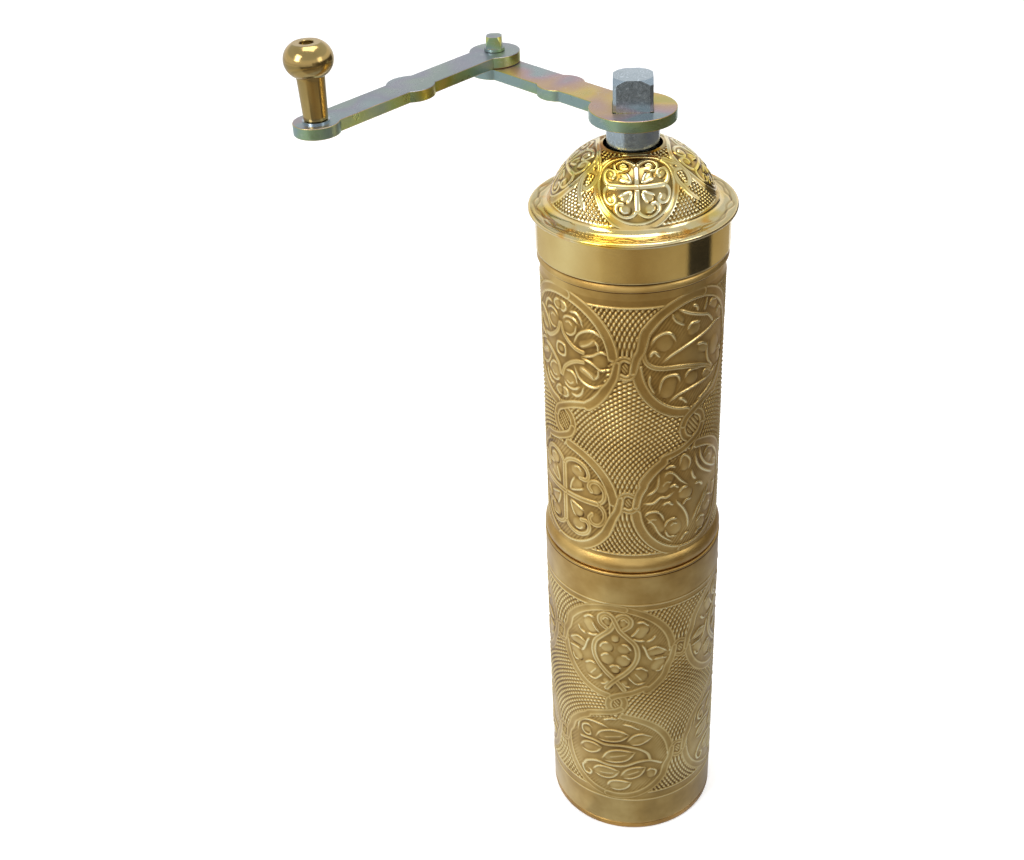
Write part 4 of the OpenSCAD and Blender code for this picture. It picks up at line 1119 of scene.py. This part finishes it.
# Studio: a plain pale floor, a white surround, soft lamps, and cards laid round the object that
# only the metal mirrors. The camera looks down on it from close in front.
floor_half, floor_lift = 3, 0.3
bm = bmesh.new()
bmesh.ops.create_grid(bm, x_segments=1, y_segments=1, size=floor_half)
floor = piece("floor", bm)
pale = bpy.data.materials.new("pale_floor")
pale.use_nodes = True
tree = pale.node_tree
shade = tree.nodes["Principled BSDF"]
shade.inputs["Base Color"].default_value = (0.94, 0.94, 0.94, 1)
shade.inputs["Roughness"].default_value = 0.9
shade.inputs["Emission Color"].default_value = (1, 1, 1, 1)
lift = node(tree, "ShaderNodeLightPath").outputs["Is Camera Ray"]
tree.links.new(rescaled(tree, lift, 0, 1, 0, floor_lift), shade.inputs["Emission Strength"])
floor.data.materials.append(pale)


def mirror_card(name, reach, turns, tones, heights=(0.002, 0.002), steps=150):
    """A card bent round the object, seen only in the metal's reflections. Its tone runs evenly
    from turn to turn, counted in degrees from the front."""
    bm = bmesh.new()
    start, stop = math.radians(turns[0]), math.radians(turns[-1])
    ends = [bm.verts.new((r * math.sin(start), -r * math.cos(start), z)) for r, z in zip(reach, heights)]
    edge = bm.edges.new(ends)
    bmesh.ops.spin(bm, geom=ends + [edge], cent=(0, 0, 0), axis=(0, 0, 1), angle=stop - start, steps=steps)
    bmesh.ops.recalc_face_normals(bm, faces=bm.faces)
    card = piece(name, bm)
    spots = read(card.data.vertices, "co")
    turn = np.degrees(np.arctan2(spots[:, 0], -spots[:, 1]))
    shade = np.ones((len(turn), 4))
    for i in range(3):
        shade[:, i] = np.interp(turn, turns, [tone[i] for tone in tones])
    card.data.attributes.new("tone", "FLOAT_COLOR", "POINT").data.foreach_set("color", shade.ravel())
    paint = bpy.data.materials.new(name)
    paint.use_nodes = True
    tree = paint.node_tree
    tone = node(tree, "ShaderNodeAttribute", attribute_name="tone").outputs["Color"]
    glow = node(tree, "ShaderNodeEmission", {"Color": tone})
    tree.links.new(glow.outputs[0], tree.nodes["Material Output"].inputs[0])
    card.data.materials.append(paint)
    card.visible_camera = card.visible_shadow = card.visible_diffuse = False


def panels(*tones):
    """Every tone twice, so that it holds from one turn to the next."""
    return [tone for tone in tones for _ in range(2)]


around = (-150, -37, -35, 11, 13, 65, 67, 150)
cup_tones = panels((0.84, 0.92, 1.06), (0.56, 0.62, 0.73), (0.50, 0.56, 0.68), (0.47, 0.53, 0.64))
mirror_card("cup_card", (0.0253, 0.155), around, cup_tones)
casing_turns = (-150, -37, -35, 11, 13, 65, 67, 83, 85, 102, 104, 150)
casing_tones = panels((0.86, 0.88, 0.88), (0.48, 0.43, 0.36), (0.37, 0.33, 0.28))
casing_tones += panels((0.33, 0.32, 0.33), (0.17, 0.17, 0.18), (0.40, 0.41, 0.46))
mirror_card("casing_card", (0.155, 0.30), casing_turns, casing_tones)
silver, dim, grey = (0.66, 0.69, 0.70), (0.17, 0.165, 0.16), (0.24, 0.22, 0.21)
for name, reach in (("upper_card", (0.30, 0.37)), ("outer_card", (0.48, 0.95))):
    mirror_card(name, reach, around, panels(silver, dim, dim, grey))
white, tan, brown = (0.9, 0.93, 0.9), (0.67, 0.59, 0.4), (0.38, 0.29, 0.16)
olive, black = (0.47, 0.4, 0.26), (0.02, 0.02, 0.02)
mirror_card(
    "skirt_card",
    (0.37, 0.48),
    (-150, -80, -36, 3, 46, 63, 67, 99, 103, 150),
    [tan, white, tan, brown, olive, olive, black, black, olive, olive],
)
soot, sky = (0.1, 0.09, 0.08), (0.68, 0.73, 0.78)
mirror_card("dark_room", (0.63, 0.63), (20, 50, 150), [(0.4, 0.38, 0.34), soot, soot], (0.003, 0.26))
mirror_card("sky_card", (0.02, 2.2), (0, 359), [sky, sky], (1.05, 1.05))

scene = bpy.context.scene
world = bpy.data.worlds.new("studio")
world.use_nodes = True
scene.world = world
tree = world.node_tree
ray = node(tree, "ShaderNodeLightPath").outputs
seen = reckoned(tree, "MAXIMUM", ray["Is Camera Ray"], ray["Is Glossy Ray"])
seen = reckoned(tree, "MAXIMUM", seen, ray["Is Transmission Ray"])
back = tree.nodes["Background"]
tree.links.new(rescaled(tree, seen, 0, 1, 0.75, 1.0), back.inputs["Strength"])
back.inputs["Color"].default_value = (1, 1, 1, 1)


def softbox(name, at, aim, size, power):
    lamp = bpy.data.lights.new(name, "AREA")
    lamp.shape, lamp.size, lamp.size_y = "RECTANGLE", size[0], size[1]
    lamp.energy = power
    hung = bpy.data.objects.new(name, lamp)
    facing = (Vector(aim) - Vector(at)).to_track_quat("-Z", "Y")
    hung.matrix_world = Matrix.Translation(at) @ facing.to_matrix().to_4x4()
    scene.collection.objects.link(hung)


softbox("key", (-0.55, -0.55, 0.65), (0, 0, 0.14), (0.3, 0.5), power=4)
softbox("top", (0.0, 0.1, 0.95), (0, 0, 0.2), (0.5, 0.5), power=3)
softbox("fill", (0.7, -0.35, 0.35), (0, 0, 0.12), (0.3, 0.5), power=1)

camera_at, lens = (0, -0.322355, 0.343586), 48.463
yaw, pitch, roll = -0.103643, 0.574843, 0.0539905
ahead = Vector((math.sin(yaw) * math.cos(pitch), math.cos(yaw) * math.cos(pitch), -math.sin(pitch)))
right = Vector((math.cos(yaw), -math.sin(yaw), 0))
under = ahead.cross(right)
frame_x = math.cos(roll) * right + math.sin(roll) * under
frame_y = math.sin(roll) * right - math.cos(roll) * under
camera = bpy.data.objects.new("camera", bpy.data.cameras.new("camera"))
held = Matrix((frame_x, frame_y, -ahead)).transposed()
camera.matrix_world = Matrix.Translation(camera_at) @ held.to_4x4()
camera.data.lens = lens
camera.data.sensor_width = 36
camera.data.sensor_fit = "HORIZONTAL"
camera.data.clip_start = 0.01
scene.collection.objects.link(camera)
scene.camera = camera
scene.view_settings.view_transform = "Standard"
